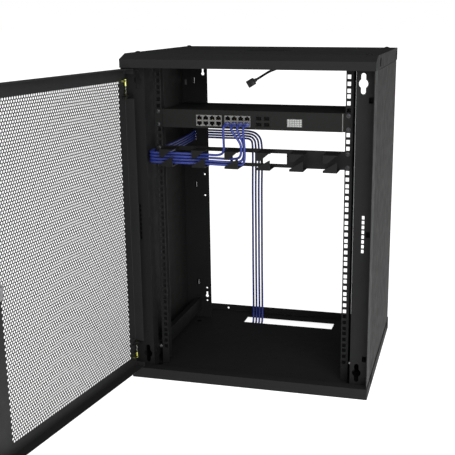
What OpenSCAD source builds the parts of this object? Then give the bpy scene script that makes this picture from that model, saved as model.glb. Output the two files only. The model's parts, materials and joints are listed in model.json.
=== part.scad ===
// Network server rack cabinet, 19 inch, sixteen units high, with one switch and one cable manager.
// Millimetres. Heights run up from the base, depths run back from the front edge (y = 0),
// and place() brings the depth's middle to the origin.

/* [Cabinet] */
// Overall width
cab_w = 600; // [590:1:620]
// Overall depth
cab_d = 500; // [480:1:700]
// Number of rack units between base and roof
rack_units = 16; // [16:1:16]
// Thickness of the folded sheet steel
sheet = 1.5; // [1.2:0.1:1.5]

/* [Door] */
// How far the door stands open at rest, in degrees
door_open = 98; // [0:1:100]
// Depth of the door's folded edge
door_depth = 25; // [20:1:25]

/* [Contents] */
// Depth of the network switch behind its front panel
switch_depth = 160; // [150:5:300]
// Diameter of a patch lead
patch_d = 5.8; // [5:0.1:5.8]
// Diameter of the roof fan's lead
fan_lead_d = 6; // [5:0.1:6.5]

/* [Hidden] */
$fn = 32;
eps = 0.01;

// Rack standard
unit_h = 44.45;
unit_holes = [6.35, 22.225, 38.1];
rack_hole_x = 232.55;
panel_half_w = 241.3;

// Body
half_w = cab_w / 2;
cab_h = rack_units * unit_h + 100;
floor_top = 14;
floor_under = floor_top - sheet;
roof_under = cab_h - sheet;
cover_z = cab_h - 31.9;
bevel_h = 12.1;
bevel_d = 35;
bevel_slope = bevel_h / bevel_d;
bevel_drop = sheet * norm([1, bevel_slope]);
band_h = 27;
rear_band_h = 33;
ledge_d = 25;
panel_outer = half_w - 1.7;
panel_sheet = 1.2;
panel_y0 = 55.6;
panel_y1 = 497;
panel_z0 = band_h + 1;
panel_z1 = cover_z - 1.6;
fold = 12;
side_slot_y = [85, 468];
side_slot_w = 28;

// Posts, bars and rails
face_y = 33;
post_in = 253;
post_out = 296.8;
return_y = 67;
outer_return_y = 53.5;
rear_y = 428;
rear_in = 222.3;
rear_in_right = 232.5;
rear_hole_in = 12.7;
rear_return_y = 494;
bar_x = post_in + sheet;
bar_w = 14;
bar_low_z = [35, 75];
bar_top_z = [774, roof_under - sheet];
bolt_low_z = 55;
bolt_top_z = 791;
rail_y = 67.6;
rail_in = 225;
rail_out = 243;
rail_d = 37.4;
rail_z = [16, roof_under - 2];
rail_hole = 9.5;
rail_bottom_z = 57;
rail_bolt_y = 86;
return_bolt_y = 50;
corner_bolt_x = 277;
corner_bolt_y = [62, 440];
foot_hole_x = 248;
foot_hole_y = [62, 388];
foot_hole_r = 4.25;
keyhole_x = 269;
keyhole_z = [53.6, 749.6];
hinge_z = [90.6, 712.6];
mid_z = 401.6;
bolt_r = 3;
bolt_hole_r = 3.25;
nut_r = 5.8;
nut_h = 5;
panel_screw_x = 291;
panel_screw_z = [100, mid_z, 703.2];

// Floor slot for cables and the pass-through in the left rear post
slot_x = [-117, 146];
slot_y = [411, 457];
pass_x = [-266.5, -257.5];
pass_z = [550, 580.5];

// Door, drawn closed and swung about the hinge line
hinge_x = -290;
hinge_y = 8;
door_y = 3;
door_edge = 293.7;
door_sheet = 1.2;
door_z0 = band_h + 1.5;
door_z1 = cover_z - 2.3;
door_round = 2;
mesh_x = [-268, 204];
mesh_z = [50.5, 751];
pin_r = 2;
pin_hole_r = 2.05;
pin_reach = 52;
tab_t = 2.5;
tab_r = 3.5;
ear_t = 1.5;
ear_gap = 0.55;
ear_h = 20;
ear_w = 16;
ear_in = 3.8;
lock_x = 238;
lock_r = 9.4;
plug_r = 6;
cam_y = 36;
spring_low = 5.9;
spring_high = 21.6;
spring_turns = 6;
spring_r = 2.6;
spring_wire = 0.35;

// Fan under the roof
fan_x = 0;
fan_y = 250;
fan_w = 120;
fan_h = 38;
fan_z = roof_under - fan_h;
fan_pitch = 52.5;
gland_x = 50;
gland_z = 776;

// Switch and cable manager
switch_z = rail_bottom_z + 13 * unit_h;
manager_z = rail_bottom_z + 11 * unit_h;
case_half = 220;
case_z = [switch_z + 0.8, switch_z + unit_h - 0.8];
case_y = [rail_y, rail_y + switch_depth];
bezel_y = 62;
port_y = 61.5;
port_pitch = 15.9;
port_block_x = [-134.7, -64];
port_z = [640.5, 667];
port_row_z = [647, 660.5];
sfp_x = [11, 48];
sfp_z = [641, 668];
vent_x = [88, 124];
vent_z = [643.5, 662.5];
port_w = 12.2;
port_h = 9;
plug_w = 11.6;
plug_h = 8;
boot_front_y = 40;
finger_x = [-215, -134, -53, 24, 103, 182];
finger_w = 33;
finger_y = 18;
finger_t = 2;

// Patch leads: the drop in front of the manager, the levels, turning radii and turning points
boot_z = port_row_z[0];
drop_x = [-58, -15.5, -10.5, -7];
drop_y = [33, 30, 36, 30];
turn = 14;
lead_y = 34;
gap_x = -248;
side_x = -262;
back_y = 439;
under_z = 3;
loop_x = -115;
loop_y = [90, 118, 128, 137];
lead_end_y = [197, 240, 290, 340];

function mix(a, b, t) = a + (b - a) * t;
function port_x(i) = port_block_x[1] + port_pitch * (i + 0.5);
function front_z(i) = 576.5 - 7.5 * i;
function side_z(i) = 569 - 6.5 * i;
function back_z(i) = 578 - 7 * i;
function down_x(i) = -68 - 9 * i;
function bend_r(i) = 35 - 7 * i;
function loop_r(i) = down_x(i) - loop_x;
function patch_route(i) = concat(
    [[port_x(i), 40, boot_z], [port_x(i), 36, boot_z],
     [mix(port_x(i), drop_x[i], 0.04), 30.5, 645.3],
     [mix(port_x(i), drop_x[i], 0.12), 26, 640.5],
     [mix(port_x(i), drop_x[i], 0.25), 24, 634],
     [mix(port_x(i), drop_x[i], 0.55), mix(24, drop_y[i], 0.4), 622],
     [mix(port_x(i), drop_x[i], 0.85), mix(24, drop_y[i], 0.8), 610],
     [drop_x[i], drop_y[i], 600], [drop_x[i], drop_y[i], front_z(i) + turn],
     [drop_x[i] - 0.3 * turn, mix(drop_y[i], lead_y, 0.6), front_z(i) + 0.3 * turn],
     [drop_x[i] - turn, lead_y, front_z(i)],
     [-110, lead_y, front_z(i)], [-180, lead_y, front_z(i)], [-234, lead_y, front_z(i)],
     [-244, 38, front_z(i)], [gap_x, 48, front_z(i)], [gap_x, 80, front_z(i)],
     [-252, 104, mix(front_z(i), side_z(i), 0.3)], [side_x, 150, side_z(i)],
     [side_x, 270, side_z(i)], [side_x, 380, mix(side_z(i), back_z(i), 0.4)],
     [side_x, 424, mix(side_z(i), back_z(i), 0.75)],
     [-258, 435, mix(side_z(i), back_z(i), 0.95)], [-248, back_y, back_z(i)],
     [-170, back_y, back_z(i)]],
    [for (a = [0 : 30 : 90])
        [down_x(i) - bend_r(i) * (1 - sin(a)), back_y, back_z(i) - bend_r(i) * (1 - cos(a))]],
    [[down_x(i), back_y, 400], [down_x(i), back_y, 200], [down_x(i), back_y, 17],
     [down_x(i), 435, 7], [down_x(i), 425, under_z], [down_x(i), 280, under_z]],
    [for (a = [0 : 30 : 180])
        [loop_x + loop_r(i) * cos(a), loop_y[i] - loop_r(i) * sin(a), under_z]],
    [[loop_x - loop_r(i), lead_end_y[i], under_z]]);
fan_route = [[50, 182, 776], [50, 176, 776], [47, 169, 774], [38, 167, 771], [20, 174, 764],
             [4, 188, 756], [-8, 196, 749.2], [-20, 196, 742]];
fan_plug_slope = 31;

// Points round a ring of the tube at place i along the route p
function unit_of(v) = v / norm(v);
function heading(p, i) = unit_of(p[min(i + 1, len(p) - 1)] - p[max(i - 1, 0)]);
function squared(n, t) = unit_of(n - (n * t) * t);
function first_side(t) = abs(t[2]) < 0.9 ? [0, 0, 1] : [1, 0, 0];
function sides_of(p, i = 0, n = [0, 0, 1]) =
    i == len(p) ? [] :
    let (m = squared(i == 0 ? first_side(heading(p, 0)) : n, heading(p, i)))
    concat([m], sides_of(p, i + 1, m));
function ring(c, t, n, r, sides) =
    [for (k = [0 : sides - 1]) let (a = 360 * k / sides) c + r * (cos(a) * n + sin(a) * cross(t, n))];

module tube(p, r, sides = 8) {
    side = sides_of(p);
    last = len(p) - 1;
    points = [for (i = [0 : last]) each ring(p[i], heading(p, i), side[i], r, sides)];
    walls = [for (i = [0 : last - 1], k = [0 : sides - 1])
        let (a = i * sides + k, b = i * sides + (k + 1) % sides) [a, a + sides, b + sides, b]];
    ends = [[for (k = [0 : sides - 1]) k], [for (k = [sides - 1 : -1 : 0]) last * sides + k]];
    polyhedron(points, concat(walls, ends), convexity = 10);
}

// ---- helpers ----
module place() {
    translate([0, -cab_d / 2, 0]) children();
}

module door_place() {
    place() translate([hinge_x, hinge_y, 0]) rotate([0, 0, -door_open])
        translate([-hinge_x, -hinge_y, 0]) children();
}

module span(low, high) {
    translate(low) cube(high - low);
}

module both() {
    children();
    mirror([1, 0, 0]) children();
}

module along_x(x0, x1, y, z, r) {
    translate([x0, y, z]) rotate([0, 90, 0]) cylinder(r = r, h = x1 - x0);
}

module along_y(x, y0, y1, z, r) {
    translate([x, y1, z]) rotate([90, 0, 0]) cylinder(r = r, h = y1 - y0);
}

module along_z(x, y, z0, z1, r) {
    translate([x, y, z0]) cylinder(r = r, h = z1 - z0);
}

module hex_z(x, y, z0, z1, r, bore) {
    translate([x, y, z0]) difference() {
        cylinder(r = r, h = z1 - z0, $fn = 6);
        translate([0, 0, -1]) cylinder(r = bore, h = z1 - z0 + 2);
    }
}

// Outline of the cover's side, with its sloping front
module cover_outline() {
    polygon([[0, cover_z], [0, cab_h - bevel_h], [bevel_d, cab_h], [cab_d, cab_h], [cab_d, cover_z]]);
}

// Extrudes a depth-height outline across the width, from x0 to x1
module across(x0, x1) {
    translate([x0, 0, 0]) rotate([90, 0, 90]) linear_extrude(x1 - x0) children();
}

// ---- body shell ----
module top_panel() {
    color("#1b1b1c") place() difference() {
        across(-half_w, half_w) cover_outline();
        across(-half_w + sheet, half_w - sheet) polygon([
            [sheet, cover_z - 1], [sheet, cab_h - bevel_h + bevel_slope * sheet - bevel_drop],
            [(bevel_h - sheet + bevel_drop) / bevel_slope, roof_under],
            [cab_d - sheet, roof_under], [cab_d - sheet, cover_z - 1]]);
        side_slots(cover_z + 5.7);
        both() for (y = corner_bolt_y)
            along_z(corner_bolt_x, y, roof_under - 1, cab_h + 1, bolt_hole_r);
        fan_holes(roof_under - 1, cab_h + 1);
        for (k = [-5 : 5])
            span([fan_x + 10 * k - 2.5, fan_y - 45 + abs(k) * 3, roof_under - 1],
                 [fan_x + 10 * k + 2.5, fan_y + 45 - abs(k) * 3, cab_h + 1]);
    }
}

// Slots through both sides of a cover or tray, 18 mm high from a height
module side_slots(z) {
    both() for (y = side_slot_y)
        span([half_w - sheet - eps, y - side_slot_w / 2, z], [half_w + 1, y + side_slot_w / 2, z + 18]);
}

module base_tray() {
    color("#1d1d1e") place() difference() {
        union() {
            span([-half_w, 0, 0], [half_w, sheet, band_h]);
            span([-half_w, 0, band_h - sheet], [half_w, ledge_d, band_h]);
            span([-half_w, ledge_d - sheet, floor_under], [half_w, ledge_d, band_h]);
            span([-half_w, ledge_d - sheet, floor_under], [half_w, cab_d, floor_top]);
            span([-half_w, cab_d - sheet, 0], [half_w, cab_d, rear_band_h]);
            both() span([half_w - sheet, 0, 0], [half_w, cab_d, band_h]);
        }
        span([slot_x[0], slot_y[0], 0], [slot_x[1], slot_y[1], floor_top + 1]);
        side_slots(7);
        both() for (y = corner_bolt_y) along_z(corner_bolt_x, y, 5, floor_top + 1, bolt_hole_r);
        both() for (y = foot_hole_y) along_z(foot_hole_x, y, 5, floor_top + 1, foot_hole_r);
        along_y(-190, cab_d - sheet - 1, cab_d + 1, 22, 3);
    }
}

// One side panel: plain outside, with folds all round its inside for the screws
module side_panel() {
    inner = panel_outer - panel_sheet;
    difference() {
        union() {
            span([inner, panel_y0, panel_z0], [panel_outer, panel_y1, panel_z1]);
            span([inner - fold, panel_y0, panel_z0], [inner, panel_y0 + panel_sheet, panel_z1]);
            span([inner - fold, panel_y1 - panel_sheet, panel_z0], [inner, panel_y1, panel_z1]);
            for (z = [panel_z0, panel_z1 - panel_sheet])
                span([inner - fold, panel_y0, z], [inner, rear_y - 2, z + panel_sheet]);
        }
        for (z = panel_screw_z) along_y(panel_screw_x, panel_y0 - 1, panel_y1 + 1, z, 2.6);
    }
}

module side_panel_right() {
    color("#242321") place() side_panel();
}

module side_panel_left() {
    color("#242321") place() mirror([1, 0, 0]) side_panel();
}

module keyhole(x, z, y0, y1) {
    along_y(x, y0, y1, z, 10.5);
    for (end = [-18, 18]) along_y(x, y0, y1, z + end, 5.5);
    span([x - 5.5, y0, z - 18], [x + 5.5, y1, z + 18]);
}

// Foot plate that a corner bolt holds to the floor or the roof
module post_foot(y0, y1, z, x0) {
    span([x0, y0, z], [post_out, y1, z + sheet]);
}

module front_post() {
    difference() {
        union() {
            span([post_in, face_y, floor_top], [post_out + sheet, face_y + sheet, roof_under]);
            span([post_in, face_y, floor_top], [post_in + sheet, return_y, roof_under]);
            span([post_out, ledge_d + 0.2, floor_top], [post_out + sheet, outer_return_y + sheet, roof_under]);
            span([post_out, 1.7, band_h + 0.3], [post_out + sheet, ledge_d + 0.3, roof_under]);
            span([281, outer_return_y, floor_top], [post_out + sheet, outer_return_y + sheet, roof_under]);
            post_foot(face_y, 75, floor_top, post_in);
            post_foot(face_y, 75, roof_under - sheet, post_in);
        }
        span([post_out - 1, 0, cab_h - 15.2], [half_w, 38, cab_h]);
        span([post_in - 1, 30, cab_h - 15.2 + 12], [half_w, 36, cab_h]);
        for (z = keyhole_z) keyhole(keyhole_x, z, face_y - 1, face_y + sheet + 1);
        for (z = [hinge_z[0], mid_z, hinge_z[1]])
            span([282, face_y - 1, z - 7], [296, face_y + sheet + 1, z + 7]);
        for (k = [-3.5 : 3.5])
            translate([273, face_y - 1, mid_z + 11.6 * k - 4.25]) cube([6, sheet + 2, 8.5]);
        span([post_in - 1, cam_y - 1, mid_z - 12], [post_in + sheet + 1, cam_y + 5, mid_z + 12]);
        for (z = [bolt_low_z, bolt_top_z])
            along_x(post_in - 1, post_in + sheet + 1, return_bolt_y, z, bolt_hole_r);
        along_z(corner_bolt_x, corner_bolt_y[0], 0, cab_h, bolt_hole_r);
        for (z = panel_screw_z) along_y(panel_screw_x, outer_return_y - 1, outer_return_y + 3, z, 2.6);
    }
}

module front_post_right() {
    color("#201f1e") place() front_post();
}

module front_post_left() {
    color("#201f1e") place() mirror([1, 0, 0]) front_post();
}

module rear_post(inner) {
    flange = post_out - sheet;
    hole_x = inner + rear_hole_in;
    difference() {
        union() {
            span([inner, rear_y, floor_top], [post_out, rear_y + sheet, roof_under]);
            span([flange, rear_y, floor_top], [post_out, rear_return_y + sheet, roof_under]);
            span([283, rear_return_y, rear_band_h + 1], [post_out, rear_return_y + sheet, cover_z - 2]);
            post_foot(rear_y, 470, floor_top, 245);
            post_foot(rear_y, 470, roof_under - sheet, 245);
        }
        for (z = [122.7, 420.5, 719.7]) span([260, rear_y - 1, z - 7.5], [267, rear_y + 3, z + 7.5]);
        span([283, rear_y - 1, 706], [288.5, rear_y + 3, 721.5]);
        for (z = [66.5, 106, 389, 451]) along_y(hole_x, rear_y - 1, rear_y + 3, z, 2.5);
        for (z = [85, 742]) keyhole_small(hole_x, z);
        for (z = [bolt_low_z, bolt_top_z]) along_y(262, rear_y - 1, rear_y + 3, z, bolt_hole_r);
        along_z(corner_bolt_x, corner_bolt_y[1], 0, cab_h, bolt_hole_r);
        for (z = panel_screw_z)
            along_y(panel_screw_x, rear_return_y - 1, rear_return_y + 3, z, 2.6);
    }
}

module keyhole_small(x, z) {
    along_y(x, rear_y - 1, rear_y + 3, z - 4, 4.5);
    span([x - 2.5, rear_y - 1, z - 4], [x + 2.5, rear_y + 3, z + 9]);
}

module rear_post_right() {
    color("#171717") place() rear_post(rear_in_right);
}

module rear_post_left() {
    color("#171717") place() difference() {
        mirror([1, 0, 0]) rear_post(rear_in);
        span([pass_x[0], rear_y - 1, pass_z[0]], [pass_x[1], rear_y + 3, pass_z[1]]);
    }
}

// C-section bar from a front post's return back to the rear post, with a bolting tab behind
module depth_bar(z) {
    difference() {
        union() {
            span([bar_x, face_y + 5, z[0]], [bar_x + sheet, rear_y, z[1]]);
            for (h = [z[0], z[1] - sheet])
                span([bar_x, return_y + 12, h], [bar_x + bar_w, rear_y - 16, h + sheet]);
            span([bar_x, rear_y - sheet, z[0]], [bar_x + bar_w, rear_y, z[1]]);
        }
        m = (z[0] + z[1]) / 2;
        for (y = [return_bolt_y, rail_bolt_y]) along_x(bar_x - 1, bar_x + 3, y, m, bolt_hole_r);
        along_y(262, rear_y - 3, rear_y + 1, m, bolt_hole_r);
    }
}

module depth_bars() {
    color("#191919") place() both() {
        depth_bar(bar_low_z);
        depth_bar([bar_top_z[0], 2 * bolt_top_z - bar_top_z[0]]);
    }
}

module rail() {
    difference() {
        union() {
            span([rail_in, rail_y, rail_z[0]], [rail_out, rail_y + sheet, rail_z[1]]);
            span([rail_out - sheet, rail_y, rail_z[0]], [rail_out, rail_y + rail_d, rail_z[1]]);
            span([rail_out - 12, rail_y + rail_d - sheet, rail_z[0]], [rail_out, rail_y + rail_d, rail_z[1]]);
        }
        for (u = [0 : rack_units - 1], h = unit_holes)
            translate([rack_hole_x, rail_y, rail_bottom_z + u * unit_h + h])
                cube([rail_hole, 4, rail_hole], center = true);
        for (z = [bolt_low_z, bolt_top_z])
            along_x(rail_out - 3, rail_out + 1, rail_bolt_y, z, bolt_hole_r);
    }
}

module rail_right() {
    color("#1c1c1c") place() rail();
}

module rail_left() {
    color("#1c1c1c") place() mirror([1, 0, 0]) rail();
}

// ---- fasteners ----
module rail_spacers() {
    color("#8f8f8c") place() both() for (z = [bolt_low_z, bolt_top_z]) difference() {
        along_x(rail_out, bar_x, rail_bolt_y, z, 6);
        along_x(rail_out - 1, bar_x + 1, rail_bolt_y, z, bolt_hole_r);
    }
}

module frame_bolts() {
    color("#2a2a2a") place() both() for (z = [bolt_low_z, bolt_top_z]) {
        along_x(rail_out - sheet - 3, rail_out - sheet, rail_bolt_y, z, 5);
        along_x(rail_out - sheet - 1, bar_x + 9, rail_bolt_y, z, bolt_r);
        along_x(post_in - 3, post_in, return_bolt_y, z, 5);
        along_x(post_in - 1, bar_x + 9, return_bolt_y, z, bolt_r);
        along_y(262, rear_y - sheet - 3, rear_y - sheet, z, 5);
        along_y(262, rear_y - sheet - 1, rear_y + 9, z, bolt_r);
    }
}

module frame_nuts() {
    color("#3a3a3a") place() both() {
        for (z = [bolt_low_z, bolt_top_z]) {
            for (y = [rail_bolt_y, return_bolt_y]) translate([bar_x + sheet, y, z]) rotate([0, 90, 0])
                hex_z(0, 0, 0, nut_h, nut_r, bolt_r + 0.05);
            translate([262, rear_y + sheet, z]) rotate([-90, 0, 0])
                hex_z(0, 0, 0, nut_h, nut_r, bolt_r + 0.05);
        }
        for (y = corner_bolt_y) {
            hex_z(corner_bolt_x, y, floor_under - nut_h, floor_under, nut_r, bolt_r + 0.05);
            hex_z(corner_bolt_x, y, roof_under - sheet - nut_h, roof_under - sheet, nut_r, bolt_r + 0.05);
        }
    }
}

// Dome-headed bolt pointing down, with its head's seat at z
module dome_bolt(x, y, z, grip) {
    translate([x, y, z]) {
        intersection() {
            cylinder(r = 8, h = 4.6);
            translate([0, 0, -6.4]) sphere(r = 11);
        }
        translate([0, 0, -grip]) cylinder(r = bolt_r, h = grip + 1);
    }
}

module corner_bolts() {
    color("#262626") place() both() for (y = corner_bolt_y) {
        dome_bolt(corner_bolt_x, y, cab_h, 9);
        dome_bolt(corner_bolt_x, y, floor_top + sheet, 9);
    }
}

module panel_screws() {
    color("#2b2b2b") place() both() for (z = panel_screw_z) {
        along_y(panel_screw_x, outer_return_y - 2, panel_y0 + panel_sheet + 1, z, 2.5);
        along_y(panel_screw_x, panel_y0 + panel_sheet, panel_y0 + panel_sheet + 2.5, z, 4.5);
        along_y(panel_screw_x, rear_return_y - 3, panel_y1 + 1, z, 2.5);
        along_y(panel_screw_x, panel_y1, panel_y1 + 2.5, z, 4.5);
    }
}

// ---- hinges ----
module hinge_brackets() {
    color("#222222") place() for (z = hinge_z) difference() {
        union() {
            along_z(hinge_x, hinge_y, z - tab_t / 2, z + tab_t / 2, tab_r);
            span([hinge_x - 2.5, hinge_y, z - tab_t / 2], [hinge_x + 7, face_y + sheet + 2, z + tab_t / 2]);
            span([-295, face_y + sheet, z - 14], [-258, face_y + sheet + 2, z + 14]);
        }
        along_z(hinge_x, hinge_y, z - 5, z + 5, pin_hole_r);
    }
}

// U-shaped ear on the door, above the lower leaf; outward is +1 for the top hinge, -1 below
module hinge_ear(z, outward) {
    near = tab_t / 2 + ear_gap;
    translate([0, 0, z]) mirror([0, 0, outward > 0 ? 0 : 1]) difference() {
        union() {
            for (h = [-near - ear_t, near, near + ear_h]) {
                span([hinge_x - 2.3, hinge_y - 2.3, h], [hinge_x + ear_w, hinge_y + 4, h + ear_t]);
                span([hinge_x + ear_in, door_y + door_sheet, h], [hinge_x + ear_w, hinge_y, h + ear_t]);
            }
            for (h = [[-near - 12, -near], [near, near + ear_h + ear_t]])
                span([hinge_x + ear_in, door_y + door_sheet, h[0]],
                     [hinge_x + ear_w, door_y + door_sheet + ear_t, h[1]]);
        }
        along_z(hinge_x, hinge_y, -40, 40, pin_hole_r);
    }
}

module hinge_ears() {
    color("#2c2c2c") door_place() {
        hinge_ear(hinge_z[0], -1);
        hinge_ear(hinge_z[1], 1);
    }
}

// Sprung hinge pin with a collar under the spring and an L-shaped grip above the ear
module hinge_pin(z, outward) {
    translate([hinge_x, hinge_y, z]) mirror([0, 0, outward > 0 ? 0 : 1]) {
        translate([0, 0, -6]) cylinder(r = pin_r, h = 44);
        translate([0, 0, 3.7]) cylinder(r = 3.2, h = 2);
        translate([0, 0, 24]) cylinder(r = 3.2, h = 16);
        span([0, -2.5, 34], [15, 2.5, 38]);
    }
}

module hinge_pin_top() {
    color("#c9b44a") door_place() hinge_pin(hinge_z[1], 1);
}

module hinge_pin_bottom() {
    color("#c9b44a") door_place() hinge_pin(hinge_z[0], -1);
}

function coil(z0, z1, turns, r) =
    [for (k = [0 : 12 * turns]) [r * cos(30 * k), r * sin(30 * k), z0 + (z1 - z0) * k / (12 * turns)]];

module pin_spring(z, outward) {
    translate([hinge_x, hinge_y, z]) mirror([0, 0, outward > 0 ? 0 : 1])
        tube(coil(spring_low + spring_wire, spring_high - spring_wire, spring_turns, spring_r), spring_wire, 6);
}

module pin_spring_top() {
    color("#b9b9b4") door_place() pin_spring(hinge_z[1], 1);
}

module pin_spring_bottom() {
    color("#b9b9b4") door_place() pin_spring(hinge_z[0], -1);
}

// ---- door ----
module pan_outline(edge, front, back, r) {
    translate([-edge, front + r]) square([2 * edge, back - front - r]);
    translate([-edge + r, front]) square([2 * (edge - r), r + 1]);
    for (s = [-1, 1]) translate([s * (edge - r), front + r]) circle(r = r);
}

module door_pan() {
    color("#2a2a2b") door_place() difference() {
        translate([0, 0, door_z0]) linear_extrude(door_z1 - door_z0)
            pan_outline(door_edge, door_y, door_y + door_depth, door_round);
        translate([0, 0, door_z0 + door_sheet]) linear_extrude(door_z1 - door_z0 - 2 * door_sheet)
            pan_outline(door_edge - door_sheet, door_y + door_sheet, door_y + door_depth + 1,
                        door_round - door_sheet);
        span([mesh_x[0], door_y - 1, mesh_z[0]], [mesh_x[1], door_y + 3, mesh_z[1]]);
        for (z = [[hinge_z[0] - pin_reach, hinge_z[0] + 6], [hinge_z[1] - 6, hinge_z[1] + pin_reach]])
            span([-door_edge - 1, door_y + door_sheet + 0.3, z[0]],
                 [-door_edge + door_sheet + 0.5, door_y + door_depth + 1, z[1]]);
        along_y(lock_x, door_y - 1, door_y + 3, mid_z, lock_r);
    }
}

module door_mesh() {
    color("#2a2a2b") door_place()
        span([mesh_x[0], door_y, mesh_z[0]], [mesh_x[1], door_y + door_sheet, mesh_z[1]]);
}

// ---- lock ----
module lock_housing() {
    color("#a5a7aa") door_place() difference() {
        union() {
            along_y(lock_x, door_y - 2.5, door_y, mid_z, 12);
            along_y(lock_x, door_y - 1, cam_y - 4, mid_z, lock_r - 0.05);
        }
        along_y(lock_x, door_y - 3, cam_y, mid_z, plug_r + 0.05);
    }
}

module lock_nut() {
    color("#8a8c8e") door_place() translate([lock_x, door_y + door_sheet, mid_z]) rotate([-90, 0, 0])
        hex_z(0, 0, 0, 5, 14, lock_r);
}

module lock_plug() {
    color("#b8babd") door_place() difference() {
        union() {
            along_y(lock_x, door_y - 2.5, cam_y, mid_z, plug_r);
            span([lock_x - 3, cam_y - 1, mid_z - 3], [lock_x + 3, cam_y + 4, mid_z + 3]);
        }
        span([lock_x - 1.1, door_y - 3, mid_z - 4.1], [lock_x + 1.1, door_y + 20, mid_z + 4.1]);
    }
}

module lock_cam() {
    color("#9a9a9a") door_place() difference() {
        union() {
            along_y(lock_x, cam_y, cam_y + 2.5, mid_z, 8);
            span([lock_x - 6, cam_y, mid_z - 24], [lock_x + 6, cam_y + 2.5, mid_z]);
        }
        span([lock_x - 3.05, cam_y - 1, mid_z - 3.05], [lock_x + 3.05, cam_y + 3, mid_z + 3.05]);
    }
}

module key() {
    color("#c4c6c8") door_place() {
        span([lock_x - 1, door_y - 12, mid_z - 4], [lock_x + 1, door_y + 18, mid_z + 4]);
        difference() {
            along_x(lock_x - 1, lock_x + 1, door_y - 20, mid_z, 11);
            along_x(lock_x - 2, lock_x + 2, door_y - 24, mid_z, 3);
        }
    }
}

// ---- roof fan ----
module fan_holes(z0, z1) {
    for (sx = [-1, 1], sy = [-1, 1])
        along_z(fan_x + sx * fan_pitch, fan_y + sy * fan_pitch, z0, z1, 2.25);
}

module fan_frame() {
    color("#202020") place() difference() {
        union() {
            difference() {
                translate([fan_x - fan_w / 2, fan_y - fan_w / 2, fan_z]) cube([fan_w, fan_w, fan_h]);
                along_z(fan_x, fan_y, fan_z - 1, roof_under + 1, 57.5);
            }
            along_z(fan_x, fan_y, roof_under - 4, roof_under, 20);
            for (a = [45 : 90 : 315]) translate([fan_x, fan_y, roof_under - 4]) rotate([0, 0, a])
                span([0, -4, 0], [59, 4, 4]);
            along_z(fan_x, fan_y, fan_z + 12, roof_under - 2, 2);
        }
        fan_holes(fan_z - 1, roof_under + 1);
    }
}

module fan_rotor() {
    color("#2c2c2c") place() translate([fan_x, fan_y, 0]) difference() {
        union() {
            along_z(0, 0, fan_z + 3, roof_under - 4.5, 19);
            for (k = [0 : 6]) rotate([0, 0, k * 360 / 7]) translate([18, 0, fan_z + 18]) rotate([40, 0, 0])
                span([0, -17, -0.8], [37.5, 17, 0.8]);
        }
        along_z(0, 0, fan_z + 11.5, roof_under, 2.05);
    }
}

module fan_guard() {
    color("#b5b6b5") place() translate([fan_x, fan_y, fan_z - 1.2]) {
        for (r = [12 : 11 : 56]) rotate_extrude($fn = 48) translate([r, 0]) circle(r = 0.8, $fn = 16);
        difference() {
            union() {
                for (a = [45, 135]) rotate([0, 0, a]) translate([-78, -1.2, 0]) cube([156, 2.4, 1.2]);
                for (sx = [-1, 1], sy = [-1, 1]) translate([sx * fan_pitch, sy * fan_pitch, 0])
                    cylinder(r = 5, h = 1.2);
            }
            for (sx = [-1, 1], sy = [-1, 1]) translate([sx * fan_pitch, sy * fan_pitch, -1])
                cylinder(r = 2.25, h = 3);
        }
    }
}

module fan_screws() {
    color("#b0b1b0") place() for (sx = [-1, 1], sy = [-1, 1]) {
        along_z(fan_x + sx * fan_pitch, fan_y + sy * fan_pitch, fan_z - 2, cab_h, 2);
        along_z(fan_x + sx * fan_pitch, fan_y + sy * fan_pitch, fan_z - 3.7, fan_z - 1.2, 4);
    }
}

module fan_gland() {
    color("#151515") place() translate([gland_x, fan_y - fan_w / 2, gland_z]) rotate([90, 0, 0]) {
        cylinder(r = 5, h = 3);
        cylinder(r1 = 4.2, r2 = fan_lead_d / 2 + 0.5, h = 8);
    }
}

module fan_lead() {
    color("#111111") place() tube(fan_route, fan_lead_d / 2, 10);
}

module fan_lead_plug() {
    color("#141414") place() translate(fan_route[7]) rotate([0, 90 - fan_plug_slope, 0])
        translate([-9, -6, -25]) cube([18, 12, 25]);
}

// ---- network switch ----
module switch_case() {
    color("#26282a") place() difference() {
        span([-case_half, case_y[0], case_z[0]], [case_half, case_y[1], case_z[1] - 1]);
        span([-case_half + 1, case_y[0] - 1, case_z[0] + 1], [case_half - 1, case_y[1] - 1, case_z[1] + 1]);
        for (k = [0 : 5], j = [0, 1]) both()
            translate([case_half - 2, 112 + 15 * k, case_z[0] + 10 + 12 * j]) cube([3, 10, 4]);
        span([160, case_y[1] - 2, case_z[0] + 6], [190, case_y[1] + 1, case_z[0] + 30]);
    }
}

module switch_lid() {
    color("#2a2c2e") place() span([-case_half, case_y[0], case_z[1] - 1], [case_half, case_y[1], case_z[1]]);
}

module switch_bezel() {
    color("#23272a") place() difference() {
        span([-case_half, bezel_y, switch_z + 0.4], [case_half, rail_y, switch_z + unit_h - 0.4]);
        for (x = port_block_x) span([x, bezel_y - 1, port_z[0]], [x + 4 * port_pitch, rail_y + 1, port_z[1]]);
        span([sfp_x[0], bezel_y - 1, sfp_z[0]], [sfp_x[1], rail_y + 1, sfp_z[1]]);
        span([vent_x[0], bezel_y - 1, vent_z[0]], [vent_x[1], rail_y + 1, vent_z[1]]);
    }
}

module switch_ears() {
    color("#23272a") place() both() difference() {
        union() {
            span([case_half, rail_y - 2, switch_z + 0.4], [panel_half_w, rail_y, switch_z + unit_h - 0.4]);
            translate([case_half, rail_y - 2, switch_z + 0.4]) cube([2, 38, unit_h - 0.8]);
        }
        for (h = [unit_holes[0], unit_holes[2]])
            along_y(rack_hole_x, rail_y - 3, rail_y + 1, switch_z + h, 3.4);
    }
}

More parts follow.
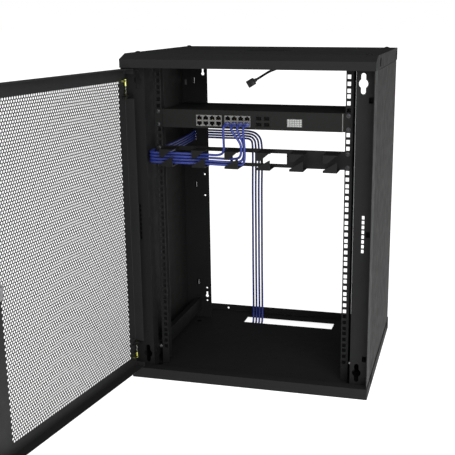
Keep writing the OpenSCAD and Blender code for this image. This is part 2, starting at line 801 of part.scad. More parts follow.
module switch_ports() {
    color("#9ea3a6") place() for (x = port_block_x) difference() {
        span([x, port_y, port_z[0]], [x + 4 * port_pitch, rail_y + 14, port_z[1]]);
        for (k = [0 : 3], z = port_row_z)
            span([x + port_pitch * (k + 0.5) - port_w / 2, port_y - 1, z - port_h / 2],
                 [x + port_pitch * (k + 0.5) + port_w / 2, port_y + 14, z + port_h / 2]);
    }
}

module switch_sfp_cages() {
    color("#55595c") place() difference() {
        span([sfp_x[0], port_y, sfp_z[0]], [sfp_x[1], rail_y + 30, sfp_z[1]]);
        for (x = [19.4, 38.8], z = [647.5, 661.7])
            span([x - 7, port_y - 1, z - 4.5], [x + 7, rail_y + 26, z + 4.5]);
    }
}

module switch_vent() {
    color("#c3c6c6") place() difference() {
        span([vent_x[0], bezel_y - 0.3, vent_z[0]], [vent_x[1], bezel_y + 1.2, vent_z[1]]);
        for (i = [0 : 6], j = [0 : 3])
            translate([vent_x[0] + 1.7 + 4.9 * i, bezel_y - 1, vent_z[0] + 1.5 + 4.5 * j]) cube([3.2, 3, 2.8]);
    }
}

module switch_board() {
    color("#1d4a2c") place() span([-210, rail_y + 2, port_z[0] - 1.7], [210, case_y[1] - 12, port_z[0] - 0.1]);
}

module switch_inlet() {
    color("#151515") place() difference() {
        span([160, case_y[1] - 22, case_z[0] + 6], [190, case_y[1] + 1, case_z[0] + 30]);
        span([164, case_y[1] - 12, case_z[0] + 10], [186, case_y[1] + 2, case_z[0] + 26]);
    }
}

// ---- cable manager ----
module manager_panel() {
    windows = [[-222, -133], [-127, -52], [-46, 23], [29, 87]];
    color("#1c1c1c") place() difference() {
        span([-panel_half_w, rail_y - 2, manager_z + 0.4], [panel_half_w, rail_y, manager_z + unit_h - 0.4]);
        for (w = windows) span([w[0], rail_y - 3, manager_z + 9], [w[1], rail_y + 1, manager_z + 34]);
        both() for (h = [unit_holes[0], unit_holes[2]])
            along_y(rack_hole_x, rail_y - 3, rail_y + 1, manager_z + h, 3.4);
    }
}

// One finger: a flat arm with a tip turned towards its partner
module finger(x, z, tip) {
    span([x, finger_y, z], [x + finger_w, rail_y - 2, z + finger_t]);
    translate([x, finger_y + finger_t, z]) rotate([90, 0, 0]) linear_extrude(finger_t) polygon(tip);
}

// The upper tips hang as a wedge with a square left edge, the lower ones rise to the right
module manager_fingers() {
    upper_tip = [[0, finger_t], [0, -17], [10, -17], [30, 0], [finger_w, finger_t]];
    lower_tip = [[0, 0], [finger_w, 0], [finger_w, 24], [finger_w - 2, 24], [0, 5]];
    color("#1a1a1a") place() for (x = finger_x) {
        finger(x, manager_z + 39.5, upper_tip);
        finger(x, manager_z + 0.4, lower_tip);
    }
}

module rack_screws() {
    color("#303030") place() both() for (z = [switch_z, manager_z], h = [unit_holes[0], unit_holes[2]]) {
        along_y(rack_hole_x, rail_y - 5, rail_y - 2, z + h, 5.2);
        along_y(rack_hole_x, rail_y - 3, rail_y + 14, z + h, 2.9);
    }
}

module cage_nuts() {
    color("#77797a") place() both() for (z = [switch_z, manager_z], h = [unit_holes[0], unit_holes[2]])
        difference() {
            union() {
                translate([rack_hole_x, rail_y + 0.8, z + h]) cube([9.2, 1.4, 9.2], center = true);
                translate([rack_hole_x - 5.5, rail_y + sheet, z + h - 5.5]) cube([11, 8 - sheet, 11]);
            }
            along_y(rack_hole_x, rail_y - 2, rail_y + 10, z + h, 3);
        }
}

// ---- patch leads ----
module patch_cord_1() {
    color("#1f3ea8") place() tube(patch_route(0), patch_d / 2);
}

module patch_cord_2() {
    color("#1f3ea8") place() tube(patch_route(1), patch_d / 2);
}

module patch_cord_3() {
    color("#1f3ea8") place() tube(patch_route(2), patch_d / 2);
}

module patch_cord_4() {
    color("#1f3ea8") place() tube(patch_route(3), patch_d / 2);
}

// Plugs in the lower row of the second port block, each with a boot that its lead leaves
module patch_plugs() {
    color("#2a4cc0") place() for (i = [0 : 3]) {
        translate([port_x(i), 0, boot_z]) {
            span([-plug_w / 2, port_y - 6, -plug_h / 2], [plug_w / 2, port_y + 10, plug_h / 2]);
            span([-4.5, boot_front_y, -4], [4.5, port_y - 6, 4]);
        }
    }
}

module patch_ends() {
    color("#2a4cc0") place() for (i = [0 : 3]) {
        x = loop_x - loop_r(i);
        y = lead_end_y[i];
        span([x - 4, y, 0.3], [x + 4, y + 15, 8.3]);
        span([x - plug_w / 2, y + 15, 0.3], [x + plug_w / 2, y + 37, 8.3]);
    }
}

top_panel();
base_tray();
side_panel_left();
side_panel_right();
front_post_left();
front_post_right();
rear_post_left();
rear_post_right();
depth_bars();
rail_left();
rail_right();
rail_spacers();
frame_bolts();
frame_nuts();
corner_bolts();
panel_screws();
hinge_brackets();
fan_frame();
fan_guard();
fan_screws();
fan_gland();
fan_lead();
fan_lead_plug();
fan_rotor();
switch_case();
switch_lid();
switch_bezel();
switch_ears();
switch_ports();
switch_sfp_cages();
switch_vent();
switch_board();
switch_inlet();
manager_panel();
manager_fingers();
rack_screws();
cage_nuts();
patch_cord_1();
patch_cord_2();
patch_cord_3();
patch_cord_4();
patch_plugs();
patch_ends();
door_pan();
door_mesh();
hinge_ears();
hinge_pin_top();
hinge_pin_bottom();
pin_spring_top();
pin_spring_bottom();
lock_housing();
lock_nut();
lock_plug();
lock_cam();
key();
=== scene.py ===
"""Looks of the network rack cabinet: camera, light, materials, and the pieces that the CAD keeps plain."""
import json
from math import cos, hypot, pi, radians, sin

import bmesh
import bpy
from mathutils import Matrix, Vector


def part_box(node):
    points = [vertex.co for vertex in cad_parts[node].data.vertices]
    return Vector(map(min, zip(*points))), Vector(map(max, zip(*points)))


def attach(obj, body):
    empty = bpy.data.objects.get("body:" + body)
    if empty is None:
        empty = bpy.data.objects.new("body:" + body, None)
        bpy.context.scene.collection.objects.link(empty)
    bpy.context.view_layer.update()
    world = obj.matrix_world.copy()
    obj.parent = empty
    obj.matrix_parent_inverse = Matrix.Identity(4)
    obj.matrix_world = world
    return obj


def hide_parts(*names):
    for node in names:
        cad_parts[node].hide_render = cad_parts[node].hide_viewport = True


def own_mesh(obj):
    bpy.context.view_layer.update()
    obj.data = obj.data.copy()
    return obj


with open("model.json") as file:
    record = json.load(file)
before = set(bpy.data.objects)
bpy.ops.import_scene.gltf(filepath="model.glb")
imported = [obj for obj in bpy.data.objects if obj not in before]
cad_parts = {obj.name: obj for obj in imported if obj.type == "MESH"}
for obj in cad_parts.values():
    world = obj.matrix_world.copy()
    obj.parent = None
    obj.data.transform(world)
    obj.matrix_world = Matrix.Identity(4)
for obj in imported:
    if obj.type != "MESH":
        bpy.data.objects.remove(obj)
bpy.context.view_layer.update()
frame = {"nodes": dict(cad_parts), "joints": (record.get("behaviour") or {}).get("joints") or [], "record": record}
NODES = frame["nodes"]
JOINTS = {joint["name"]: joint for joint in frame["joints"]}

# Sizes are in millimetres and angles in degrees, unless a comment says otherwise.
MM = 0.001
DEPTH_MIDDLE = 250
DOOR_OPEN = 98


# ---- places ----
def at(x, y, z):
    """A point given in millimetres from the cabinet's middle, its front edge and its base, in metres."""
    return Vector((x, y - DEPTH_MIDDLE, z)) * MM


def put(x, y, z):
    """The matrix that moves a mesh to a point, given as in at()."""
    return Matrix.Translation(at(x, y, z))


def turned(degrees, axis):
    return Matrix.Rotation(radians(degrees), 4, axis)


UPRIGHT = turned(90, "X")


def door_matrix():
    """Takes a point of the closed door to where the door stands open."""
    hinge = Vector(JOINTS["door_swing"]["pos_m"])
    return Matrix.Translation(hinge) @ turned(-DOOR_OPEN, "Z") @ Matrix.Translation(-hinge)


def box_mm(node):
    """A node's corners in millimetres from the cabinet's middle, front edge and base."""
    low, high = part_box(node)
    shift = Vector((0, DEPTH_MIDDLE, 0))
    return low / MM + shift, high / MM + shift


def mix(a, b, t):
    return a + (b - a) * t


# ---- camera ----
# The place is in metres, and the three angles are in radians.
CAMERA_PLACE = (0.5109, -2.1159, 0.9023)
CAMERA_LENS = 66.76
CAMERA_SHIFT = -0.0941
YAW = 0.2358
PITCH = 0.2487
ROLL = 0.001543


def make_camera():
    data = bpy.data.cameras.new("camera")
    data.lens = CAMERA_LENS
    data.shift_x = CAMERA_SHIFT
    camera = in_scene("camera", data)
    forward = Vector((-sin(YAW) * cos(PITCH), cos(YAW) * cos(PITCH), -sin(PITCH)))
    level = Vector((cos(YAW), sin(YAW), 0))
    down = forward.cross(level)
    right = cos(ROLL) * level + sin(ROLL) * down
    down = -sin(ROLL) * level + cos(ROLL) * down
    turn = Matrix((right, -down, -forward)).transposed().to_4x4()
    camera.matrix_world = Matrix.Translation(CAMERA_PLACE) @ turn
    bpy.context.scene.camera = camera


# ---- pieces and meshes ----
def in_scene(name, data):
    """A new object in the scene that holds a mesh, a curve, a camera or a light."""
    made = bpy.data.objects.new(name, data)
    bpy.context.scene.collection.objects.link(made)
    return made


def new_piece(name, mesh, material, nodes=(), body="cabinet"):
    """A piece that rides a body, and stands in for the CAD nodes that it shows in more detail."""
    piece = in_scene(name, mesh)
    mesh.materials.clear()
    mesh.materials.append(material)
    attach(piece, body)
    if nodes:
        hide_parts(*nodes)
    return piece


def finished(work, name):
    """The mesh that a bmesh holds."""
    mesh = bpy.data.meshes.new(name)
    work.to_mesh(mesh)
    work.free()
    return mesh


def joined(name, meshes):
    """One mesh from several, which are used up."""
    work = bmesh.new()
    for mesh in meshes:
        work.from_mesh(mesh)
        bpy.data.meshes.remove(mesh)
    return finished(work, name)


def moved(mesh, matrix):
    mesh.transform(matrix)
    if matrix.determinant() < 0:
        mesh.flip_normals()
    return mesh


def shade_smooth(mesh, angle=35):
    """Smooth shading with sharp edges above an angle in degrees."""
    work = bmesh.new()
    work.from_mesh(mesh)
    for face in work.faces:
        face.smooth = True
    for edge in work.edges:
        sharp = len(edge.link_faces) == 2 and edge.calc_face_angle(0) > radians(angle)
        edge.smooth = not sharp
    work.to_mesh(mesh)
    work.free()
    return mesh


def circle(x, y, r, count):
    return [(x + r * cos(2 * pi * k / count), y + r * sin(2 * pi * k / count)) for k in range(count)]


def round_rect(x0, y0, x1, y1, r, steps):
    """Outline of a rectangle whose corners are arcs of a radius."""
    corners = [(x1 - r, y1 - r, 0), (x0 + r, y1 - r, 90), (x0 + r, y0 + r, 180), (x1 - r, y0 + r, 270)]
    turns = [(x, y, radians(a + 90 * k / steps)) for x, y, a in corners for k in range(steps + 1)]
    return [(x + r * cos(a), y + r * sin(a)) for x, y, a in turns]


def plate(name, outline, holes=(), thick=1.0, bevel=0.0):
    """A flat plate in X and Y from closed outlines, centred on its thickness, with rounded edges."""
    curve = bpy.data.curves.new(name, "CURVE")
    curve.dimensions = "2D"
    curve.fill_mode = "BOTH"
    curve.extrude = max(thick / 2 - bevel, 0.0) * MM
    curve.bevel_depth = bevel * MM
    curve.bevel_resolution = 2
    curve.offset = -bevel * MM
    for points in [outline, *holes]:
        spline = curve.splines.new("POLY")
        spline.points.add(len(points) - 1)
        for k, (x, y) in enumerate(points):
            spline.points[k].co = (x * MM, y * MM, 0, 1)
        spline.use_cyclic_u = True
    holder = in_scene(name, curve)
    graph = bpy.context.evaluated_depsgraph_get()
    mesh = bpy.data.meshes.new_from_object(holder.evaluated_get(graph))
    bpy.data.objects.remove(holder)
    bpy.data.curves.remove(curve)
    work = bmesh.new()
    work.from_mesh(mesh)
    bmesh.ops.remove_doubles(work, verts=work.verts, dist=1e-6)
    work.to_mesh(mesh)
    work.free()
    return mesh


def front_plate(name, outline, holes, y_front, thick, bevel=0.0):
    """A plate in X and Z whose front lies at a depth."""
    return moved(plate(name, outline, holes, thick, bevel), put(0, y_front + thick / 2, 0) @ UPRIGHT)


def lathe(name, profile, count=32):
    """Turns a profile of (radius, height) about Z. A radius of 0 closes it."""
    work = bmesh.new()
    rings = []
    for r, height in profile:
        spots = circle(0, 0, r, count) if r else [(0, 0)]
        rings.append([work.verts.new((x * MM, y * MM, height * MM)) for x, y in spots])
    for a, b in zip(rings, rings[1:]):
        for k in range(count):
            n = (k + 1) % count
            corners = [a[k % len(a)], a[n % len(a)], b[n % len(b)], b[k % len(b)]]
            face = list(dict.fromkeys(corners))
            if len(face) > 2:
                work.faces.new(face)
    bmesh.ops.recalc_face_normals(work, faces=work.faces)
    return finished(work, name)


def loft(name, sections):
    """Skins closed rings of points, and caps both ends."""
    work = bmesh.new()
    rings = [[work.verts.new(Vector(p) * MM) for p in section] for section in sections]
    for a, b in zip(rings, rings[1:]):
        for k in range(len(a)):
            n = (k + 1) % len(a)
            work.faces.new([a[k], a[n], b[n], b[k]])
    work.faces.new(rings[0][::-1])
    work.faces.new(rings[-1])
    bmesh.ops.recalc_face_normals(work, faces=work.faces)
    return finished(work, name)


def rounded_box(name, low, high, r, steps=2):
    """A box with rounded edges, from two corners."""
    work = bmesh.new()
    bmesh.ops.create_cube(work, size=1)
    for v in work.verts:
        v.co = Vector([mix(low[i], high[i], v.co[i] + 0.5) * MM for i in range(3)])
    bmesh.ops.bevel(work, geom=work.edges[:], offset=r * MM, segments=steps, affect="EDGES", profile=0.5)
    return finished(work, name)


# ---- materials ----
# Lengths and heights here are in metres.
class Nodes:
    """Short calls for building a node tree."""

    def __init__(self, tree):
        self.tree = tree

    def node(self, kind, values=(), links=(), **settings):
        made = self.tree.nodes.new(kind)
        for key, value in settings.items():
            setattr(made, key, value)
        for key, value in dict(values).items():
            made.inputs[key].default_value = value
        for key, source in dict(links).items():
            self.tree.links.new(source, made.inputs[key])
        return made

    def times(self, a, b):
        return self.node("ShaderNodeMath", links={0: a, 1: b}, operation="MULTIPLY").outputs["Value"]


class Paint(Nodes):
    """A material's node tree, which ends in its principled shader."""

    def __init__(self, name):
        self.material = bpy.data.materials.new(name)
        self.material.use_nodes = True
        super().__init__(self.material.node_tree)
        self.shader = self.tree.nodes["Principled BSDF"]
        self.place = self.node("ShaderNodeTexCoord").outputs["Object"]

    def link(self, source, socket):
        self.tree.links.new(source, self.shader.inputs[socket])

    def fix(self, socket, value):
        self.shader.inputs[socket].default_value = value

    def noise(self, scale, detail=2.0, rough=0.5, stretch=None):
        place = self.place
        if stretch:
            place = self.node("ShaderNodeMapping", {"Scale": stretch}, {"Vector": place}).outputs["Vector"]
        values = {"Scale": scale, "Detail": detail, "Roughness": rough}
        return self.node("ShaderNodeTexNoise", values, {"Vector": place}).outputs["Fac"]

    def spread(self, source, low, high, to_low=0.0, to_high=1.0):
        values = {"From Min": low, "From Max": high, "To Min": to_low, "To Max": to_high}
        return self.node("ShaderNodeMapRange", values, {"Value": source}).outputs["Result"]

    def clouds(self, noise, to_low=0.0, to_high=1.0):
        """Noise spread softly between two values."""
        return self.spread(noise, 0.3, 0.7, to_low, to_high)

    def blend(self, factor, a, b):
        """Mixes two colours, each a colour or another node's output."""
        made = self.node("ShaderNodeMix", data_type="RGBA")
        sockets = {s.identifier: s for s in made.inputs}
        self.tree.links.new(factor, sockets["Factor_Float"])
        for key, item in (("A_Color", a), ("B_Color", b)):
            if isinstance(item, tuple):
                sockets[key].default_value = item
            else:
                self.tree.links.new(item, sockets[key])
        return {s.identifier: s for s in made.outputs}["Result_Color"]

    def rounded(self, radius):
        """Normals that round off the edges."""
        return self.node("ShaderNodeBevel", {"Radius": radius}, samples=4).outputs["Normal"]

    def edges(self, radius):
        """1 along the convex and concave edges, 0 on flat faces."""
        sharp = self.node("ShaderNodeNewGeometry").outputs["Normal"]
        links = {0: self.rounded(radius), 1: sharp}
        gap = self.node("ShaderNodeVectorMath", links=links, operation="DISTANCE")
        return self.spread(gap.outputs["Value"], 0.02, 0.25)

    def bump(self, height, strength, distance, normal=None):
        links = {"Height": height}
        if normal:
            links["Normal"] = normal
        made = self.node("ShaderNodeBump", {"Strength": strength, "Distance": distance}, links)
        self.link(made.outputs["Normal"], "Normal")


def shade(color, gain):
    return tuple(min(1.0, c * gain) for c in color) + (1.0,)


def powder_coat(name, color, rough=0.6, specular=0.2, worn=0.5, round_edges=0.0006):
    """Fine-textured powder coat: faint patches, orange-peel bump, and slightly paler rubbed edges."""
    p = Paint(name)
    base = p.blend(p.clouds(p.noise(5, 3)), shade(color, 0.93), shade(color, 1.07))
    speckle = p.spread(p.noise(1500, 1), 0.42, 0.62, 0, 0.35)
    base = p.blend(speckle, base, shade(color, 1.3))
    rub = p.times(p.edges(0.0009), p.spread(p.noise(55, 4, 0.7), 0.35, 0.75, 0.1, worn))
    base = p.blend(rub, base, shade(color, 1.4))
    p.link(base, "Base Color")
    p.link(p.clouds(p.noise(30, 3), rough - 0.06, rough + 0.06), "Roughness")
    p.fix("Specular IOR Level", specular)
    p.bump(p.noise(1100, 2), 0.22, 0.00012, p.rounded(round_edges))
    return p.material


def metal(name, color, rough=0.3, grain=0.25, metallic=1.0, stain=None, darkened_between=None, specular=0.5):
    """Plated metal with fine drawn lines, cloudy plating and brighter edges. A pair of heights, if given,
    darkens the finish from full at the first to near black at the second."""
    p = Paint(name)
    base = p.blend(p.clouds(p.noise(60, 4)), shade(color, 0.82), shade(stain or color, 1.08))
    rub = p.times(p.edges(0.0004), p.clouds(p.noise(90, 3), 0.2, 0.6))
    base = p.blend(rub, base, shade(color, 1.35))
    if darkened_between:
        height = p.node("ShaderNodeSeparateXYZ", links={0: p.place}).outputs["Z"]
        # The finish turns near black between the two heights.
        base = p.blend(p.spread(height, *darkened_between), base, shade(color, 0.07))
    p.link(base, "Base Color")
    lines = p.noise(700, 2, stretch=(1, 1, 14))
    p.link(p.clouds(lines, rough - 0.07, rough + 0.1), "Roughness")
    p.fix("Metallic", metallic)
    p.fix("Specular IOR Level", specular)
    p.bump(lines, grain, 0.00005, p.rounded(0.00025))
    return p.material


def plastic(name, color, rough=0.45, specular=0.3, grain=1800, coat=0.0, bump=0.15):
    """Moulded plastic: fine spark-eroded grain, slight flow marks and handled edges."""
    p = Paint(name)
    base = p.blend(p.clouds(p.noise(25, 3, stretch=(1, 1, 0.3))), shade(color, 0.9), shade(color, 1.08))
    rub = p.times(p.edges(0.0005), p.clouds(p.noise(80, 3), 0.1, 0.4))
    base = p.blend(rub, base, shade(color, 1.6))
    p.link(base, "Base Color")
    p.link(p.clouds(p.noise(45, 3), rough - 0.06, rough + 0.08), "Roughness")
    p.fix("Specular IOR Level", specular)
    p.fix("Coat Weight", coat)
    p.bump(p.noise(grain, 2), bump, 0.00008, p.rounded(0.0003))
    return p.material


def lead_sheath(name, color, rough):
    """Extruded lead sheath: faint rings from the die, scuffs and small colour changes."""
    p = Paint(name)
    base = p.blend(p.clouds(p.noise(40, 4)), shade(color, 0.82), shade(color, 1.15))
    scuff = p.spread(p.noise(260, 4, 0.7), 0.6, 0.75, 0, 0.35)
    base = p.blend(scuff, base, shade(color, 1.5))
    p.link(base, "Base Color")
    p.link(p.clouds(p.noise(120, 3), rough - 0.05, rough + 0.14), "Roughness")
    p.fix("Specular IOR Level", 0.45)
    p.bump(p.noise(900, 3), 0.25, 0.0001)
    return p.material


def circuit_board():
    """Laminate with solder mask: copper tracks as fine lighter lines under the green."""
    p = Paint("circuit_board")
    place = p.node("ShaderNodeMapping", {"Scale": (160, 160, 160)}, {"Vector": p.place}).outputs["Vector"]
    values = {"Scale": 1.0, "Mortar Size": 0.06, "Brick Width": 1.7, "Row Height": 0.6}
    values |= {"Color1": (0.01, 0.09, 0.03, 1), "Color2": (0.012, 0.11, 0.04, 1)}
    values |= {"Mortar": (0.03, 0.2, 0.08, 1)}
    tracks = p.node("ShaderNodeTexBrick", values, {"Vector": place})
    p.link(tracks.outputs["Color"], "Base Color")
    p.link(p.clouds(p.noise(60, 2), 0.28, 0.42), "Roughness")
    p.bump(tracks.outputs["Fac"], 0.3, 0.0001)
    return p.material


PIN_HANDLE = 16 * MM
PIN_FADE = 2 * MM
PIN_PAINTS = {"hinge_pin_top": "pin_high", "hinge_pin_bottom": "pin_low"}


def pin_paint(name, node, handle_up):
    """Yellow passivated zinc on a hinge pin's handle, whose colour turns near black along its shaft."""
    low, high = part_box(node)
    if handle_up:
        end = high.z - PIN_HANDLE
        heights = (end, end - PIN_FADE)
    else:
        end = low.z + PIN_HANDLE
        heights = (end, end + PIN_FADE)
    return metal(name, (0.74, 0.68, 0.12), 0.33, stain=(0.55, 0.62, 0.25), darkened_between=heights)


def make_materials():
    frame_black = (0.0085, 0.0085, 0.009)
    coat_black = (0.0125, 0.0125, 0.0128)
    soft_black = (0.012, 0.012, 0.013)
    return {
        "cover_paint": powder_coat("cover_paint", coat_black, 0.66, 0.08),
        "side_paint": powder_coat("side_paint", (0.014, 0.0138, 0.0133), 0.64, 0.08),
        "frame_paint": powder_coat("frame_paint", frame_black, 0.6, 0.14, 0.2, 0.0002),
        "rail_paint": powder_coat("rail_paint", frame_black, 0.55, 0.14, 0.3, 0.0003),
        "door_paint": powder_coat("door_paint", coat_black, 0.58, 0.25),
        "black_steel": metal("black_steel", soft_black, 0.55, metallic=0.5, specular=0.15),
        "zinc_steel": metal("zinc_steel", (0.52, 0.53, 0.54), 0.34),
        "pin_low": pin_paint("pin_low", "hinge_pin_bottom", False),
        "pin_high": pin_paint("pin_high", "hinge_pin_top", True),
        "lock_metal": metal("lock_metal", (0.6, 0.6, 0.62), 0.2),
        "fan_plastic": plastic("fan_plastic", soft_black, 0.5),
        "lead_black": lead_sheath("lead_black", soft_black, 0.42),
        "switch_paint": powder_coat("switch_paint", (0.0085, 0.0092, 0.0082), 0.58, 0.12),
        "rubber": plastic("rubber", (0.0025, 0.0025, 0.0025), 0.8, 0.05, 900),
        "port_metal": metal("port_metal", (0.15, 0.15, 0.146), 0.5, metallic=0.3),
        "port_dark": plastic("port_dark", (0.006, 0.006, 0.006), 0.5, 0.2),
        "gold": metal("gold", (0.78, 0.52, 0.16), 0.25, grain=0.1),
        "screw_steel": metal("screw_steel", (0.075, 0.075, 0.078), 0.5),
        "lamp_lens": plastic("lamp_lens", (0.2, 0.21, 0.19), 0.2, 0.5, coat=0.3),
        "vent_grey": plastic("vent_grey", (0.36, 0.37, 0.36), 0.5, 0.3),
        "board_green": circuit_board(),
        "inlet_black": plastic("inlet_black", (0.012, 0.012, 0.012), 0.4),
        "manager_paint": powder_coat("manager_paint", (0.0065, 0.0065, 0.007), 0.5, 0.14),
        "patch_blue": lead_sheath("patch_blue", (0.018, 0.031, 0.185), 0.4),
        "plug_blue": plastic("plug_blue", (0.05, 0.066, 0.25), 0.3, 0.45, 900, coat=0.2, bump=0.06),
    }


def paint_nodes(paints):
    for row in frame["record"]["subparts"]:
        mesh = NODES[row["node"]].data
        mesh.materials.clear()
        mesh.materials.append(paints[PIN_PAINTS.get(row["node"], row["material_slot"])])


# ---- cords ----
# Both lengths are in metres. Each patch lead drops from its port to DROP_X and DROP_Y, runs left at LEAD_Y,
# back at SIDE_X, across at BACK_Y, down, and under the floor tray, where it turns round LOOP_X and LOOP_Y.
LEAD_D = 5.8
LEAD_COUNT = 4
PORT_X0 = -64
PORT_PITCH = 15.9
BOOT_Z = 647
BOOT_FRONT = 40
DROP_X = [-58, -15.5, -10.5, -7]
DROP_Y = [33, 30, 36, 30]
TURN = 14
LEAD_Y = 34
GAP_X = -248
SIDE_X = -262
BACK_Y = 439
UNDER_Z = 3
LOOP_X = -115
LOOP_Y = [90, 118, 128, 137]
LEAD_END_Y = [197, 240, 290, 340]
FAR_PLUG_RISE = 1.3
FAN_ROUTE = [at(50, 182, 776), at(50, 176, 776), at(47, 169, 774), at(38, 167, 771), at(20, 174, 764),
             at(4, 188, 756), at(-8, 196, 749.2), at(-20, 196, 742)]
FAN_LEAD_D = 6
FAN_PLUG_SLOPE = 31


def port_x(i):
    return PORT_X0 + PORT_PITCH * (i + 0.5)


def patch_route(i):
    """The patch lead's points from its front boot to its far plug, the same as the CAD route."""
    front, side, back = 576.5 - 7.5 * i, 569 - 6.5 * i, 578 - 7 * i
    drop, drop_y, down = DROP_X[i], DROP_Y[i], -68 - 9 * i
    bend, loop = 35 - 7 * i, -68 - 9 * i - LOOP_X
    x0 = port_x(i)
    points = [(x0, BOOT_FRONT, BOOT_Z), (x0, 36, BOOT_Z), (mix(x0, drop, 0.04), 30.5, 645.3),
              (mix(x0, drop, 0.12), 26, 640.5), (mix(x0, drop, 0.25), 24, 634),
              (mix(x0, drop, 0.55), mix(24, drop_y, 0.4), 622),
              (mix(x0, drop, 0.85), mix(24, drop_y, 0.8), 610),
              (drop, drop_y, 600), (drop, drop_y, front + TURN),
              (drop - 0.3 * TURN, mix(drop_y, LEAD_Y, 0.6), front + 0.3 * TURN), (drop - TURN, LEAD_Y, front),
              (-110, LEAD_Y, front), (-180, LEAD_Y, front), (-234, LEAD_Y, front), (-244, 38, front),
              (GAP_X, 48, front), (GAP_X, 80, front), (-252, 104, mix(front, side, 0.3)), (SIDE_X, 150, side),
              (SIDE_X, 270, side), (SIDE_X, 380, mix(side, back, 0.4)), (SIDE_X, 424, mix(side, back, 0.75)),
              (-258, 435, mix(side, back, 0.95)), (-248, BACK_Y, back), (-170, BACK_Y, back)]
    for a in range(0, 91, 30):
        points.append((down - bend * (1 - sin(radians(a))), BACK_Y, back - bend * (1 - cos(radians(a)))))
    points += [(down, BACK_Y, 400), (down, BACK_Y, 200), (down, BACK_Y, 17), (down, 435, 7),
               (down, 425, UNDER_Z), (down, 280, UNDER_Z)]
    for a in range(0, 181, 30):
        points.append((LOOP_X + loop * cos(radians(a)), LOOP_Y[i] - loop * sin(radians(a)), UNDER_Z))
    points.append((LOOP_X - loop, LEAD_END_Y[i], UNDER_Z))
    return [at(*p) for p in points]


def smooth_line(points, steps=4):
    """Points on a smooth curve through the route, spaced so that it never swings wide. A long gap between two
    points takes twice the steps."""
    long_gap = 30 * MM
    line = []
    for k in range(len(points) - 1):
        p1, p2 = points[k], points[k + 1]
        p0 = points[k - 1] if k else p1 - (p2 - p1)
        p3 = points[k + 2] if k + 2 < len(points) else p2 + (p2 - p1)
        t0 = 0.0
        t1 = t0 + (p1 - p0).length ** 0.5
        t2 = t1 + (p2 - p1).length ** 0.5
        t3 = t2 + (p3 - p2).length ** 0.5
        count = steps if (p2 - p1).length < long_gap else 2 * steps
        for s in range(count):
            t = mix(t1, t2, s / count)
            a1 = p0 * ((t1 - t) / (t1 - t0)) + p1 * ((t - t0) / (t1 - t0))
            a2 = p1 * ((t2 - t) / (t2 - t1)) + p2 * ((t - t1) / (t2 - t1))
            a3 = p2 * ((t3 - t) / (t3 - t2)) + p3 * ((t - t2) / (t3 - t2))
            b1 = a1 * ((t2 - t) / (t2 - t0)) + a2 * ((t - t0) / (t2 - t0))
            b2 = a2 * ((t3 - t) / (t3 - t1)) + a3 * ((t - t1) / (t3 - t1))
            line.append(b1 * ((t2 - t) / (t2 - t1)) + b2 * ((t - t1) / (t2 - t1)))
    return line + [points[-1]]


def cord_curve(name, points, diameter, material):
    """A round cord along a route."""
    curve = bpy.data.curves.new(name, "CURVE")
    curve.dimensions = "3D"
    curve.bevel_depth = diameter / 2 * MM
    curve.bevel_resolution = 4
    curve.use_fill_caps = True
    line = smooth_line(points)
    spline = curve.splines.new("POLY")
    spline.points.add(len(line) - 1)
    for k, p in enumerate(line):
        spline.points[k].co = (*p, 1)
    spline.use_smooth = True
    curve.materials.append(material)
    cord = in_scene(name, curve)
    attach(cord, "cabinet")
    return cord


def make_cords(paints):
    for i in range(LEAD_COUNT):
        route = patch_route(i)
        far_place = route[-1] + Vector((0, 0, FAR_PLUG_RISE * MM))
        front = make_plug(f"patch_plug_{i + 1}", route[0], -1, paints, "patch_plugs")
        far = make_plug(f"patch_end_{i + 1}", far_place, 1, paints, "patch_ends")
        lead = cord_curve(f"patch_lead_{i + 1}", route, LEAD_D, paints["patch_blue"])
        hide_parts(f"patch_cord_{i + 1}")
    fan_plug = make_fan_plug(paints)
    fan_lead = cord_curve("fan_supply_lead", FAN_ROUTE, FAN_LEAD_D, paints["lead_black"])
    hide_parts("fan_lead")


# ---- plugs ----
# A shape's sections are a place along the plug, with a width and a height, or with the latch's height.
PLUG_W = 11.6
PLUG_H = 7.6
PLUG_START = 14.5
PLUG_END = 31.5
LATCH_HALF = 2.6
LATCH_THICK = 0.9
CONTACTS = 8
CONTACT_PITCH = 1.02
CONTACT_W = 0.5
CONTACT_X = -3.9
CONTACT_Z = 3.9
BOOT_SHAPE = ((0, 6.4, 6.2), (3, 7.0, 6.6), (3.4, 8.0, 7.2), (5.2, 8.0, 7.2), (5.6, 7.0, 6.6),
              (6.8, 7.2, 6.8), (7.2, 8.4, 7.4), (9.0, 8.4, 7.4), (9.4, 7.4, 6.9), (10.6, 7.6, 7.0),
              (11.0, 9.0, 7.8), (15.5, 9.4, 8.0))
LATCH_SHAPE = ((2, 4.4), (5, 4.9), (9, 5.4), (15, 5.2), (20, 4.6), (29, 3.7))
FAN_PLUG_SHAPE = ((0.2, 7.6, 7.2), (-1, 8.2, 7.8), (-5, 9.4, 8.6), (-6, 15.5, 10.6), (-6.6, 17.2, 11.4),
                  (-16, 17.6, 11.8), (-16.5, 16.4, 11.0), (-17.5, 16.4, 11.0), (-18, 17.8, 11.9),
                  (-24.9, 17.8, 11.9))


